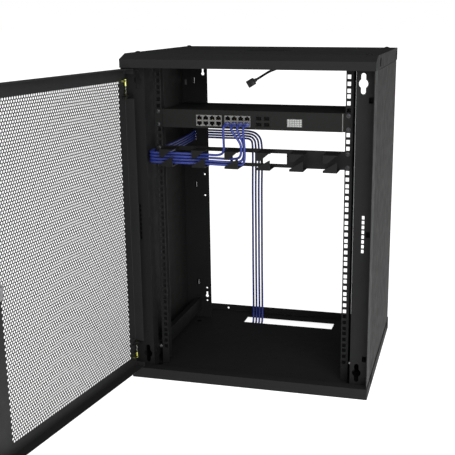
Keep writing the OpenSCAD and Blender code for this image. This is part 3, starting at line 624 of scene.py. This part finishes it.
def make_plug(name, place, side, paints, node):
    """A modular plug that points along +Y from its boot, with its latch on the given side of Z: one piece for
    its ribbed boot, latch and body, and one for its contacts."""
    boot = [[(x, y, z) for x, z in round_rect(-w / 2, -h / 2, w / 2, h / 2, 1.6, 4)]
            for y, w, h in BOOT_SHAPE]
    latch = [[(x, y, side * z) for x, z in ((-LATCH_HALF, top - LATCH_THICK), (LATCH_HALF, top - LATCH_THICK),
                                            (LATCH_HALF, top), (-LATCH_HALF, top))] for y, top in LATCH_SHAPE]
    low, high = (-PLUG_W / 2, PLUG_START, -PLUG_H / 2), (PLUG_W / 2, PLUG_END, PLUG_H / 2)
    body = rounded_box("plug_body", low, high, 0.5)
    shell = joined(name, [loft("plug_boot", boot), loft("plug_latch", latch), body])
    blades = []
    for k in range(CONTACTS):
        x, z = CONTACT_X + CONTACT_PITCH * k, -side * CONTACT_Z
        low, high = (x, PLUG_END - 4.5, z - 0.25), (x + CONTACT_W, PLUG_END + 0.1, z + 0.25)
        blades.append(rounded_box("contact", low, high, 0.1, 1))
    there = Matrix.Translation(place)
    shade_smooth(moved(shell, there), 40)
    piece = new_piece(name, shell, paints["plug_blue"], [node])
    blades = moved(joined(name + "_contacts", blades), there)
    contacts = new_piece(name + "_contacts", blades, paints["gold"], [node])
    return [piece, contacts]


def make_fan_plug(paints):
    """Connector on the fan's lead: a sleeve and a body with a latch."""
    place = Matrix.Translation(FAN_ROUTE[-1]) @ turned(90 - FAN_PLUG_SLOPE, "Y")
    body = loft("fan_plug_body", [[(x, y, z) for x, y in round_rect(-w / 2, -d / 2, w / 2, d / 2, 1.8, 3)]
                                  for z, w, d in FAN_PLUG_SHAPE])
    latch = loft("fan_plug_latch", [[(-3, y, z), (3, y, z), (3, y + 0.9, z), (-3, y + 0.9, z)]
                                    for y, z in ((4.2, -8), (4.9, -12), (5.0, -20), (4.4, -24))])
    mesh = shade_smooth(moved(joined("fan_plug", [body, latch]), place), 35)
    return [new_piece("fan_plug", mesh, paints["lead_black"], ["fan_lead_plug"])]


# ---- perforated door field ----
HOLE_PITCH = 7.5
HOLE_R = 3.05
HOLE_SIDES = 12
FIELD_LOW = (-268, 50.5)
FIELD_HIGH = (204, 751)
FIELD_FRONT = 3
FIELD_BACK = 4.2
FIELD_BANDS = 3


def ring(x, z, r, count):
    """Points round a middle, the first at 30 degrees."""
    angles = [radians(30 + 360 * k / count) for k in range(count)]
    return [(x + r * cos(a), z + r * sin(a)) for a in angles]


def clipped(points, low, high):
    """A convex outline clipped to the rectangle from low to high."""
    limits = ((0, low[0], True), (0, high[0], False), (1, low[1], True), (1, high[1], False))
    for axis, limit, keep_above in limits:
        made = []
        for k, b in enumerate(points):
            a = points[k - 1]
            a_in = (a[axis] >= limit) == keep_above or a[axis] == limit
            b_in = (b[axis] >= limit) == keep_above or b[axis] == limit
            if a_in != b_in:
                t = (limit - a[axis]) / (b[axis] - a[axis])
                made.append((mix(a[0], b[0], t), mix(a[1], b[1], t)))
            if b_in:
                made.append(b)
        points = made
    return points


def field_cells(low, high):
    """Rows of six-sided cells that fill a rectangle in X and Z. Each is an outline, with its hole's centre or
    None where the rectangle's edge leaves no room for a hole."""
    row_step = HOLE_PITCH * 3 ** 0.5 / 2
    corner = HOLE_PITCH / 3 ** 0.5
    rows = []
    for row in range(int((high[1] - low[1]) / row_step) + 2):
        z = low[1] + row * row_step
        cells = []
        for column in range(int((high[0] - low[0]) / HOLE_PITCH) + 2):
            x = low[0] + (column + (row % 2) / 2) * HOLE_PITCH
            cell = ring(x, z, corner, 6)
            cut = clipped(cell, low, high)
            if len(cut) < 3:
                continue
            inside_x = low[0] < x - HOLE_R and x + HOLE_R < high[0]
            inside_z = low[1] < z - HOLE_R and z + HOLE_R < high[1]
            whole = len(cut) == 6 and all(hypot(p[0] - x, p[1] - z) > corner - 0.01 for p in cut)
            cells.append((cell, (x, z)) if inside_x and inside_z and whole else (cut, None))
        rows.append(cells)
    return rows


def perforated(name, rows, y0, y1):
    """A closed sheet between two depths from rows of cells, with a hole in each cell that has a centre."""
    work = bmesh.new()
    for cell, centre in [cell for row in rows for cell in row]:
        holes = []
        for y in (y0, y1):
            rim = [work.verts.new((x * MM, y * MM, z * MM)) for x, z in cell]
            if centre is None:
                work.faces.new(rim)
                continue
            hole = [work.verts.new((x * MM, y * MM, z * MM)) for x, z in ring(*centre, HOLE_R, HOLE_SIDES)]
            for k in range(6):
                a, b, c = hole[2 * k], hole[2 * k + 1], hole[(2 * k + 2) % HOLE_SIDES]
                work.faces.new([rim[k], rim[(k + 1) % 6], b])
                work.faces.new([rim[k], b, a])
                work.faces.new([rim[(k + 1) % 6], c, b])
            holes.append(hole)
        if holes:
            for k in range(HOLE_SIDES):
                n = (k + 1) % HOLE_SIDES
                work.faces.new([holes[0][k], holes[0][n], holes[1][n], holes[1][k]])
    bmesh.ops.remove_doubles(work, verts=work.verts, dist=2e-6)
    edge_pairs = {}
    for edge in [e for e in work.edges if len(e.link_faces) == 1]:
        key = tuple(sorted((round(v.co.x, 5), round(v.co.z, 5)) for v in edge.verts))
        edge_pairs.setdefault(key, []).append(edge)
    for pair in edge_pairs.values():
        if len(pair) == 2:
            (a, b), (c, d) = pair[0].verts, pair[1].verts
            if (a.co.xz - c.co.xz).length > (a.co.xz - d.co.xz).length:
                c, d = d, c
            work.faces.new([a, b, d, c])
    bmesh.ops.recalc_face_normals(work, faces=work.faces)
    return finished(work, name)


def make_door_field(paints):
    """The field is made in bands of whole rows, which meet without a seam."""
    rows = field_cells(FIELD_LOW, FIELD_HIGH)
    place = door_matrix() @ put(0, 0, 0)
    for k in range(FIELD_BANDS):
        name = f"door_field_{k + 1}"
        band = rows[k * len(rows) // FIELD_BANDS:(k + 1) * len(rows) // FIELD_BANDS]
        mesh = moved(perforated(name, band, FIELD_FRONT, FIELD_BACK), place)
        new_piece(name, mesh, paints["door_paint"], ["door_mesh"], "door")


# ---- network switch ----
BLOCK_STEP = 70.7
JACK_ROWS = ((BOOT_Z, -1), (BOOT_Z + 13.5, 1))
JACK_DEPTH = 12.5
FACE_THICK = 1.2
BACK_GAP = 0.1
FIBRE_X = (19.4, 38.8)
FIBRE_Z = (647.5, 661.7)
VENT_COLUMNS = 6
VENT_ROWS = 4
VENT_RIM = 0.8
CHIPS = ((-40, 150, 34, 34, 3), (60, 150, 22, 22, 2.4), (110, 130, 14, 20, 2), (-110, 120, 16, 16, 2),
         (-150, 160, 40, 30, 20), (150, 165, 46, 26, 22), (0, 118, 20, 12, 2))
CAN_COUNT = 7
CAN_PROFILE = ((0, 0), (4.2, 0), (4.2, 0.8), (3.9, 1.2), (4.2, 1.6), (4.2, 12.4), (3.8, 13), (0, 12.8))


def jack_mouth(x, z, side):
    """Outline of a modular jack with its latch notch on the given side of Z."""
    points = [(-6.1, -4.9), (6.1, -4.9), (6.1, 2.4), (3.6, 2.4), (3.6, 3.9), (2.0, 3.9), (2.0, 5.4),
              (-2.0, 5.4), (-2.0, 3.9), (-3.6, 3.9), (-3.6, 2.4), (-6.1, 2.4)]
    return [(x + px, z + side * pz) for px, pz in (points if side > 0 else points[::-1])]


def make_port_block(index, x0, paints):
    """Shielded block of four by two jacks: face with stepped mouths, dark wells, contacts and light pipes."""
    low, high = box_mm("switch_ports")
    x1 = x0 + 4 * PORT_PITCH
    name = f"port_block_{index}"
    mouths, wells, springs, lamps = [], [], [], []
    for k in range(4):
        x = x0 + PORT_PITCH * (k + 0.5)
        for z, side in JACK_ROWS:
            mouths.append(jack_mouth(x, z, side))
            outer = round_rect(x - 6.6, z - 6, x + 6.6, z + 6, 0.4, 2)
            wells.append(front_plate("well", outer, [jack_mouth(x, z, side)], low.y + FACE_THICK, JACK_DEPTH))
            wells.append(moved(rounded_box("well_back", (-6.6, 0, -6), (6.6, 1, 6), 0.2, 1),
                               put(x, low.y + FACE_THICK + JACK_DEPTH, z)))
            for c in range(CONTACTS):
                spring = rounded_box("contact", (-0.2, 0, -0.2), (0.2, 7.5, 0.2), 0.08, 1)
                place = put(x - 3.57 + CONTACT_PITCH * c, low.y + 5.5, z - side * 4.2)
                springs.append(moved(spring, place @ turned(side * 12, "X")))
            for lamp in (-1, 1):
                lens = rounded_box("lamp", (-0.8, -0.15, -0.6), (0.8, 1.5, 0.6), 0.25)
                lamps.append(moved(lens, put(x + lamp * 5.2, low.y, z + side * 4.2)))
    outline = round_rect(x0, low.z, x1, high.z, 0.8, 3)
    inner = round_rect(x0 + 0.8, low.z + 0.8, x1 - 0.8, high.z - 0.8, 0.4, 2)
    face = front_plate("face", outline, mouths, low.y, FACE_THICK, 0.18)
    rim = front_plate("rim", outline, [inner], low.y + FACE_THICK, high.y - low.y - FACE_THICK - BACK_GAP)
    for part, meshes, paint in (("shield", [face, rim], "port_metal"), ("wells", wells, "port_dark"),
                                ("contacts", springs, "gold"), ("lamps", lamps, "lamp_lens")):
        mesh = joined(f"{name}_{part}", meshes)
        new_piece(f"{name}_{part}", mesh, paints[paint], ["switch_ports"])


def make_fibre_cages(paints):
    """Four small fibre cages, each with its own folded edge, spring fingers and dust flap."""
    low, high = box_mm("switch_sfp_cages")
    holes, parts, flaps = [], [], []
    for x in FIBRE_X:
        for z in FIBRE_Z:
            holes.append(round_rect(x - 6.9, z - 4.4, x + 6.9, z + 4.4, 0.5, 2))
            flap = rounded_box("flap", (-6.7, 0, -4.2), (6.7, 0.5, 4.2), 0.2)
            flaps.append(moved(flap, put(x, low.y + 13, z) @ turned(-4, "X")))
            for k in range(4):
                for side in (-1, 1):
                    place = put(x - 4.8 + 3.2 * k, low.y + 0.4, z + side * 4.15) @ turned(side * 5, "X")
                    finger = rounded_box("finger", (-1.2, -0.35, -0.12), (1.2, 3.0, 0.12), 0.1, 1)
                    parts.append(moved(finger, place))
    outline = round_rect(low.x, low.z, high.x, high.z, 0.6, 2)
    parts.append(front_plate("face", outline, holes, low.y, FACE_THICK, 0.15))
    depth = high.y - low.y - FACE_THICK - BACK_GAP
    parts.append(front_plate("body", outline, holes, low.y + FACE_THICK, depth))
    for name, meshes, paint in (("fibre_cages", parts, "switch_paint"), ("fibre_flaps", flaps, "port_dark")):
        new_piece(name, joined(name, meshes), paints[paint], ["switch_sfp_cages"])


def make_vent(paints):
    """Light grey lamp panel: a frame with rows of raised rounded cells."""
    low, high = box_mm("switch_vent")
    y = low.y + 0.3
    panel = front_plate("lamp_panel", round_rect(low.x, low.z, high.x, high.z, 0.8, 3), [], y, 1.1, 0.2)
    dx = (high.x - low.x - 2 * VENT_RIM) / VENT_COLUMNS
    dz = (high.z - low.z - 2 * VENT_RIM) / VENT_ROWS
    half_x, half_z = dx / 2 - 0.6, dz / 2 - 0.6
    cells = []
    for i in range(VENT_COLUMNS):
        for j in range(VENT_ROWS):
            cell = rounded_box("cell", (-half_x, -0.3, -half_z), (half_x, 0.6, half_z), 0.28)
            place = put(low.x + VENT_RIM + dx * (i + 0.5), y, low.z + VENT_RIM + dz * (j + 0.5))
            cells.append(moved(cell, place))
    cells = shade_smooth(joined("lamp_cells", cells), 40)
    for name, mesh, paint in (("lamp_panel", panel, "port_metal"), ("lamp_cells", cells, "vent_grey")):
        new_piece(name, mesh, paints[paint], ["switch_vent"])


def make_board(paints):
    """Circuit board with its chips, coils and capacitors."""
    low, high = box_mm("switch_board")
    board = moved(rounded_box("board", tuple(low), tuple(high), 0.3, 1), put(0, 0, 0))
    chips = []
    for x, y, w, d, h in CHIPS:
        chip = rounded_box("chip", (-w / 2, -d / 2, 0), (w / 2, d / 2, h), 0.6)
        chips.append(moved(chip, put(x, y, high.z)))
    cans = [moved(lathe("can", CAN_PROFILE, 20), put(-190 + 12 * k, 186, high.z)) for k in range(CAN_COUNT)]
    cans = shade_smooth(joined("board_capacitors", cans))
    for name, mesh, paint in (("circuit_board", board, "board_green"),
                              ("board_chips", joined("board_chips", chips), "port_dark"),
                              ("board_capacitors", cans, "port_metal")):
        new_piece(name, mesh, paints[paint], ["switch_board"])


def make_bezel_painted_highlight(paints):
    """Thin lighter strip up the right end of the switch's front: a painted highlight where the end face catches
    the light.
    """
    low, high = box_mm("switch_bezel")
    start, end = (high.x - 1.6, low.y - 0.3, low.z + 0.8), (high.x + 0.3, high.y, high.z - 0.8)
    strip = moved(rounded_box("painted_highlight_strip", start, end, 0.25), put(0, 0, 0))
    # Lighter metal strip that paints the highlight on the bezel's end face.
    new_piece("switch_end_painted_highlight", strip, paints["port_metal"])


# ---- screws ----
RACK_WASHER_R = 5.2
RACK_SCREW_SPACING = 31.75
PANEL_SCREW_Z = (100, 401.6, 703.2)
PANEL_SCREW_SEATS = ((56.8, 4.0), (497, 4.5))


def crossed_head(r, h):
    """Domed screw head on Z with a cross recess."""
    dome = [(r * cos(radians(a)), h * (0.35 + 0.65 * sin(radians(a)))) for a in (20, 40, 60, 75)]
    profile = [(0, 0), (r, 0), (r, 0.35 * h), *dome, (0, h)]
    holder = in_scene("head", lathe("head", profile, 28))
    wide, long = 0.16 * r, 0.6 * r
    bars = [moved(rounded_box("bar", (-long, -wide, -0.7 * h), (long, wide, h), 0.02 * r, 1),
                  Matrix.Translation((0, 0, h * MM)) @ turned(a, "Z")) for a in (0, 90)]
    cutter = in_scene("cross", joined("cross", bars))
    cut = holder.modifiers.new("cut", "BOOLEAN")
    cut.operation = "DIFFERENCE"
    cut.object = cutter
    cut.solver = "EXACT"
    cut.use_self = True
    graph = bpy.context.evaluated_depsgraph_get()
    made = bpy.data.meshes.new_from_object(holder.evaluated_get(graph))
    for used in (holder, cutter):
        mesh = used.data
        bpy.data.objects.remove(used)
        bpy.data.meshes.remove(mesh)
    return shade_smooth(made, 30)


def thread(r, length, pitch=0.8, count=14):
    """Screw shank running down Z from 0, with a real helical thread."""
    work = bmesh.new()
    rows = []
    for k in range(int(length / pitch) * count + 1):
        a = 2 * pi * k / count
        rows.append([work.verts.new((rr * cos(a) * MM, rr * sin(a) * MM, -(pitch * k / count + dz) * MM))
                     for rr, dz in ((r * 0.84, 0.0), (r, pitch * 0.5), (r * 0.84, pitch))])
    for a, b in zip(rows, rows[1:]):
        for k in range(2):
            work.faces.new([a[k], b[k], b[k + 1], a[k + 1]])
    tip = -length - 0.6
    core = lathe("core", [(0, 0.3), (r * 0.86, 0.3), (r * 0.86, -length), (r * 0.6, tip), (0, tip)], 16)
    return joined("shank", [finished(work, "shank"), core])


def rack_holes():
    """Centres of the screws that hold the switch and the manager, as (x, z) in millimetres."""
    low, high = box_mm("rack_screws")
    x, top, bottom = high.x - RACK_WASHER_R, high.z - RACK_WASHER_R, low.z + RACK_WASHER_R
    rows = [top, top - RACK_SCREW_SPACING, bottom + RACK_SCREW_SPACING, bottom]
    return [(side * x, z) for side in (-1, 1) for z in rows]


def make_rack_screws(paints):
    """Screws with washers, each turned a little further than the last."""
    seat = box_mm("rack_screws")[0].y + 3
    washer = [(2.9, 0), (RACK_WASHER_R, 0), (RACK_WASHER_R, 0.9), (2.9, 0.9)]
    parts = []
    for k, (x, z) in enumerate(rack_holes()):
        place = put(x, seat, z) @ UPRIGHT @ turned(17 * k, "Z")
        screw = (crossed_head(4.1, 2.8), lathe("washer", washer), thread(2.85, 15.5))
        parts += [moved(mesh, place) for mesh in screw]
    mesh = joined("rack_screws_crossed", parts)
    new_piece("rack_screws_crossed", mesh, paints["screw_steel"], ["rack_screws"])


def make_panel_screws(paints):
    """Screws that hold the side panels, driven forwards from inside and from behind."""
    x = box_mm("panel_screws")[1].x - 4.5
    parts = []
    for side in (-1, 1):
        for z in PANEL_SCREW_Z:
            for seat, shank in PANEL_SCREW_SEATS:
                place = put(side * x, seat, z) @ turned(-90, "X")
                parts += [moved(mesh, place) for mesh in (crossed_head(4.4, 2.4), thread(2.4, shank, 0.9))]
    mesh = joined("panel_screws_crossed", parts)
    new_piece("panel_screws_crossed", mesh, paints["black_steel"], ["panel_screws"])


def make_fan_screws(paints):
    low, high = box_mm("fan_screws")
    length = high.z - low.z - 3.2
    parts = []
    for x in (low.x + 4, high.x - 4):
        for y in (low.y + 4, high.y - 4):
            place = put(x, y, low.z + 2.5) @ turned(180, "X")
            parts += [moved(mesh, place) for mesh in (crossed_head(4.0, 2.4), thread(1.95, length, 1.0, 10))]
    mesh = joined("fan_screws_crossed", parts)
    new_piece("fan_screws_crossed", mesh, paints["zinc_steel"], ["fan_screws"])


# ---- rubber parts and springs ----
FLOOR_TOP = 14
FOOT_HOLE_X = 248
FOOT_HOLE_Y = (62, 388)
FOOT_PLUG_PROFILE = ((0, 1.2), (5.2, 1.2), (6.6, 0.7), (6.8, 0.1), (4.1, 0.05), (4.0, -2.0), (4.9, -2.3),
                     (3.6, -5.5), (0, -5.8))
SIDE_SLOT_X = 298.6
SIDE_SLOT_Y = (85, 468)
SIDE_SLOT_Z = (16, 794)
PASS_SLOT = (-266.4, 550.1, -257.6, 580.4)
POST_SHEET_Y = 428.75
BESIDE_POST_X = -250
LEAD_HOLE_R = 3.25
SPRING_R = 2.6
SPRING_WIRE = 0.35
SPRING_TURNS = 6.5
SPRING_STEPS = 14
WIRE_SIDES = 7


def make_side_caps(paints):
    """Press-in caps that close the slots low and high on both sides, each with a rib on its face."""
    caps = []
    for side, turn in ((-1, 180), (1, 0)):
        for y in SIDE_SLOT_Y:
            for z in SIDE_SLOT_Z:
                cap = rounded_box("cap", (-1.0, -13.8, -8.8), (0.9, 13.8, 8.8), 0.8)
                rib = rounded_box("rib", (0.3, -9.5, -5.2), (1.4, 9.5, 5.2), 0.5)
                place = put(side * SIDE_SLOT_X, y, z) @ turned(turn, "Z")
                caps.append(moved(joined("cap", [cap, rib]), place))
    new_piece("side_slot_caps", joined("side_slot_caps", caps), paints["rubber"])


def make_foot_plugs(paints):
    """Rubber plugs in the four foot holes of the floor sheet, with a flange above and barbs below."""
    plugs = [moved(lathe("plug", FOOT_PLUG_PROFILE, 24), put(side * FOOT_HOLE_X, y, FLOOR_TOP))
             for side in (-1, 1) for y in FOOT_HOLE_Y]
    mesh = shade_smooth(joined("foot_hole_plugs", plugs), 30)
    new_piece("foot_hole_plugs", mesh, paints["rubber"])


def lead_crossing(i, y):
    """Where a patch lead's middle crosses a depth beside the rear post, as (x, z) in millimetres."""
    line = smooth_line(patch_route(i))
    side_x, y_m = BESIDE_POST_X * MM, (y - DEPTH_MIDDLE) * MM
    a, b = next((a, b) for a, b in zip(line, line[1:]) if a.x < side_x and a.y <= y_m < b.y)
    crossing = a.lerp(b, (y_m - a.y) / (b.y - a.y))
    return crossing.x / MM, crossing.z / MM


def make_edging(paints):
    """Rubber membrane in the rear post's slot, with a close hole for each patch lead."""
    holes = [circle(*lead_crossing(i, POST_SHEET_Y), LEAD_HOLE_R, 24) for i in range(LEAD_COUNT)]
    mesh = front_plate("membrane", round_rect(*PASS_SLOT, 0.5, 2), holes, POST_SHEET_Y - 0.3, 0.6)
    new_piece("slot_edging", mesh, paints["rubber"])


def coil_spring(name, z0, z1):
    """Wire spring on Z, whose turns lie closer together at its ends."""
    sections = []
    steps = int(SPRING_TURNS * SPRING_STEPS)
    for k in range(steps + 1):
        u = k / steps
        a = 2 * pi * SPRING_TURNS * u
        rise = mix(z0 + SPRING_WIRE, z1 - SPRING_WIRE, u - 0.054 * sin(2 * pi * u))
        wire = circle(SPRING_R, rise, SPRING_WIRE, WIRE_SIDES)
        sections.append([(r * cos(a), r * sin(a), z) for r, z in wire])
    return shade_smooth(loft(name, sections), 60)


def make_springs(paints):
    """The coil springs on the hinge pins, which ride with the door."""
    for end, up in (("top", True), ("bottom", False)):
        name, joint = f"pin_spring_{end}", f"pin_{end}_pull"
        low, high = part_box(name)
        middle = (low + high) / 2
        mesh = coil_spring(name + "_coil", low.z / MM, high.z / MM)
        moved(mesh, Matrix.Translation((middle.x, middle.y, 0)))
        piece = new_piece(name + "_coil", mesh, paints["zinc_steel"], [name], "door")
        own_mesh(piece)


# ---- fan ----
FAN_BLADES = 7
BLADE_ROOT = 18.4
BLADE_TIP = 55.2
BLADE_STEPS = 8
HUB_PROFILE = ((2.2, 26.5), (18.2, 26.5), (19, 25.6), (19, 2.6), (18.2, 0.9), (16.4, 0.1), (0, 0))


def make_rotor(paints):
    """Hub with a rounded cap and curved, twisted blades with a wing section."""
    low, high = box_mm("fan_rotor")
    middle = (low + high) / 2
    parts = [lathe("hub", HUB_PROFILE, 48)]
    steps = [k / BLADE_STEPS for k in range(BLADE_STEPS + 1)]
    for blade in range(FAN_BLADES):
        sections = []
        for s in steps:
            r = mix(BLADE_ROOT, BLADE_TIP, s)
            pitch = radians(mix(46, 27, s))
            chord = mix(24, 33, s)
            lead = mix(0, 0.34, s ** 1.5)
            outline = []
            for u, side in [(u, 1) for u in steps] + [(u, -1) for u in steps[-2:0:-1]]:
                along = (u - 0.5) * chord
                thick = 1.15 * (4 * u * (1 - u)) ** 0.5 * (1 - 0.45 * u)
                height = 2.6 * (1 - (2 * u - 1) ** 2) + side * thick
                a = lead + (along * cos(pitch) - height * sin(pitch)) / r + 2 * pi * blade / FAN_BLADES
                outline.append((r * cos(a), r * sin(a), 13.2 + along * sin(pitch) + height * cos(pitch)))
            sections.append(outline)
        parts.append(loft("blade", sections))
    mesh = shade_smooth(moved(joined("fan_blades", parts), put(middle.x, middle.y, low.z)), 40)
    new_piece("fan_blades", mesh, paints["fan_plastic"], ["fan_rotor"], "fan_rotor")


# ---- key ----
KEY_PLACE = (238, -17, 401.6)
BOW_R = 10.6
BOW_END = 9.2
KEY_BLADE = [(9.4, -3.7), (20.5, -3.7), (22.5, -3.6), (24.5, -2.4), (26.5, -3.4), (28.5, -1.2),
             (30.5, -3.3), (32, -2.0), (34, -2.0), (36, -3.4), (38.0, -1.4), (38.0, 2.6), (37.2, 3.7),
             (20.5, 3.7), (9.4, 3.7)]


def make_key(paints):
    """Flat key in the lock, which turns with it: round bow with a hole, and a cut blade."""
    bow = [(x, z) for x, z in circle(0, 0, BOW_R, 40) if x < BOW_END]
    mesh = plate("key", bow + KEY_BLADE, [circle(-4.5, 0, 3, 20)], 1.9, 0.3)
    moved(mesh, door_matrix() @ put(*KEY_PLACE) @ turned(90, "Z") @ UPRIGHT)
    new_piece("lock_key", mesh, paints["lock_metal"], ["key"], "lock")


# ---- floor and light ----
# Sizes and places here are in metres.
FLOOR_HALF = 40
FLOOR_DROP = 0.0002
WORLD_LIGHT = 0.66
WORLD_DIM = 0.06
LIGHT_TARGET = (0, 0, 0.4)


def make_stage():
    """A wide pale floor that glows, so that it meets the background without a line."""
    paint = bpy.data.materials.new("pale_floor")
    paint.use_nodes = True
    inputs = paint.node_tree.nodes["Principled BSDF"].inputs
    for socket, value in (("Base Color", (0.5, 0.5, 0.5, 1)), ("Roughness", 0.9), ("Specular IOR Level", 0.0),
                          ("Emission Color", (1, 1, 1, 1)), ("Emission Strength", 0.93)):
        inputs[socket].default_value = value
    h = FLOOR_HALF
    mesh = bpy.data.meshes.new("floor")
    mesh.from_pydata([(-h, -h, 0), (h, -h, 0), (h, h, 0), (-h, h, 0)], [], [(0, 1, 2, 3)])
    mesh.materials.append(paint)
    floor = in_scene("floor", mesh)
    floor.location.z = -FLOOR_DROP


def area_light(name, place, size, power):
    data = bpy.data.lights.new(name, "AREA")
    data.shape = "RECTANGLE"
    data.size = data.size_y = size
    data.energy = power
    lamp = in_scene(name, data)
    lamp.location = place
    lamp.rotation_euler = (Vector(LIGHT_TARGET) - Vector(place)).to_track_quat("-Z", "Y").to_euler()


def make_light():
    """Even white light, dimmer above the horizon behind the cabinet, where glancing faces would mirror it."""
    world = bpy.data.worlds.new("studio")
    bpy.context.scene.world = world
    world.use_nodes = True
    sky = Nodes(world.node_tree)
    background = sky.tree.nodes["Background"]
    background.inputs["Color"].default_value = (1, 1, 1, 1)
    direction = sky.node("ShaderNodeTexCoord").outputs["Generated"]
    axes = sky.node("ShaderNodeSeparateXYZ", links={0: direction}).outputs
    masks = []
    for axis, low, high in (("Y", 0.1, 0.7), ("Z", -0.01, 0.06)):
        ramp = sky.node("ShaderNodeMapRange", {"From Min": low, "From Max": high}, {"Value": axes[axis]},
                        interpolation_type="SMOOTHSTEP")
        masks.append(ramp.outputs["Result"])
    dim = sky.node("ShaderNodeMapRange", {"To Min": WORLD_LIGHT, "To Max": WORLD_DIM},
                   {"Value": sky.times(*masks)}).outputs["Result"]
    seen = sky.node("ShaderNodeLightPath").outputs["Is Camera Ray"]
    links = {"Value": seen, "To Min": dim}
    strength = sky.node("ShaderNodeMapRange", {"To Max": 1.0}, links).outputs["Result"]
    sky.tree.links.new(strength, background.inputs["Strength"])
    area_light("key", (1.7, -2.7, 1.5), 1.8, 72)
    area_light("high", (-0.9, -2.5, 2.9), 2.0, 30)


make_camera()
bpy.context.scene.view_settings.view_transform = "Standard"
PAINTS = make_materials()
paint_nodes(PAINTS)
make_cords(PAINTS)
make_door_field(PAINTS)
for block, block_x in ((1, PORT_X0 - BLOCK_STEP), (2, PORT_X0)):
    make_port_block(block, block_x, PAINTS)
for make in (make_fibre_cages, make_vent, make_board, make_rack_screws, make_panel_screws,
             make_fan_screws, make_foot_plugs, make_side_caps, make_edging, make_springs, make_bezel_painted_highlight,
             make_rotor, make_key):
    make(PAINTS)
make_stage()
make_light()
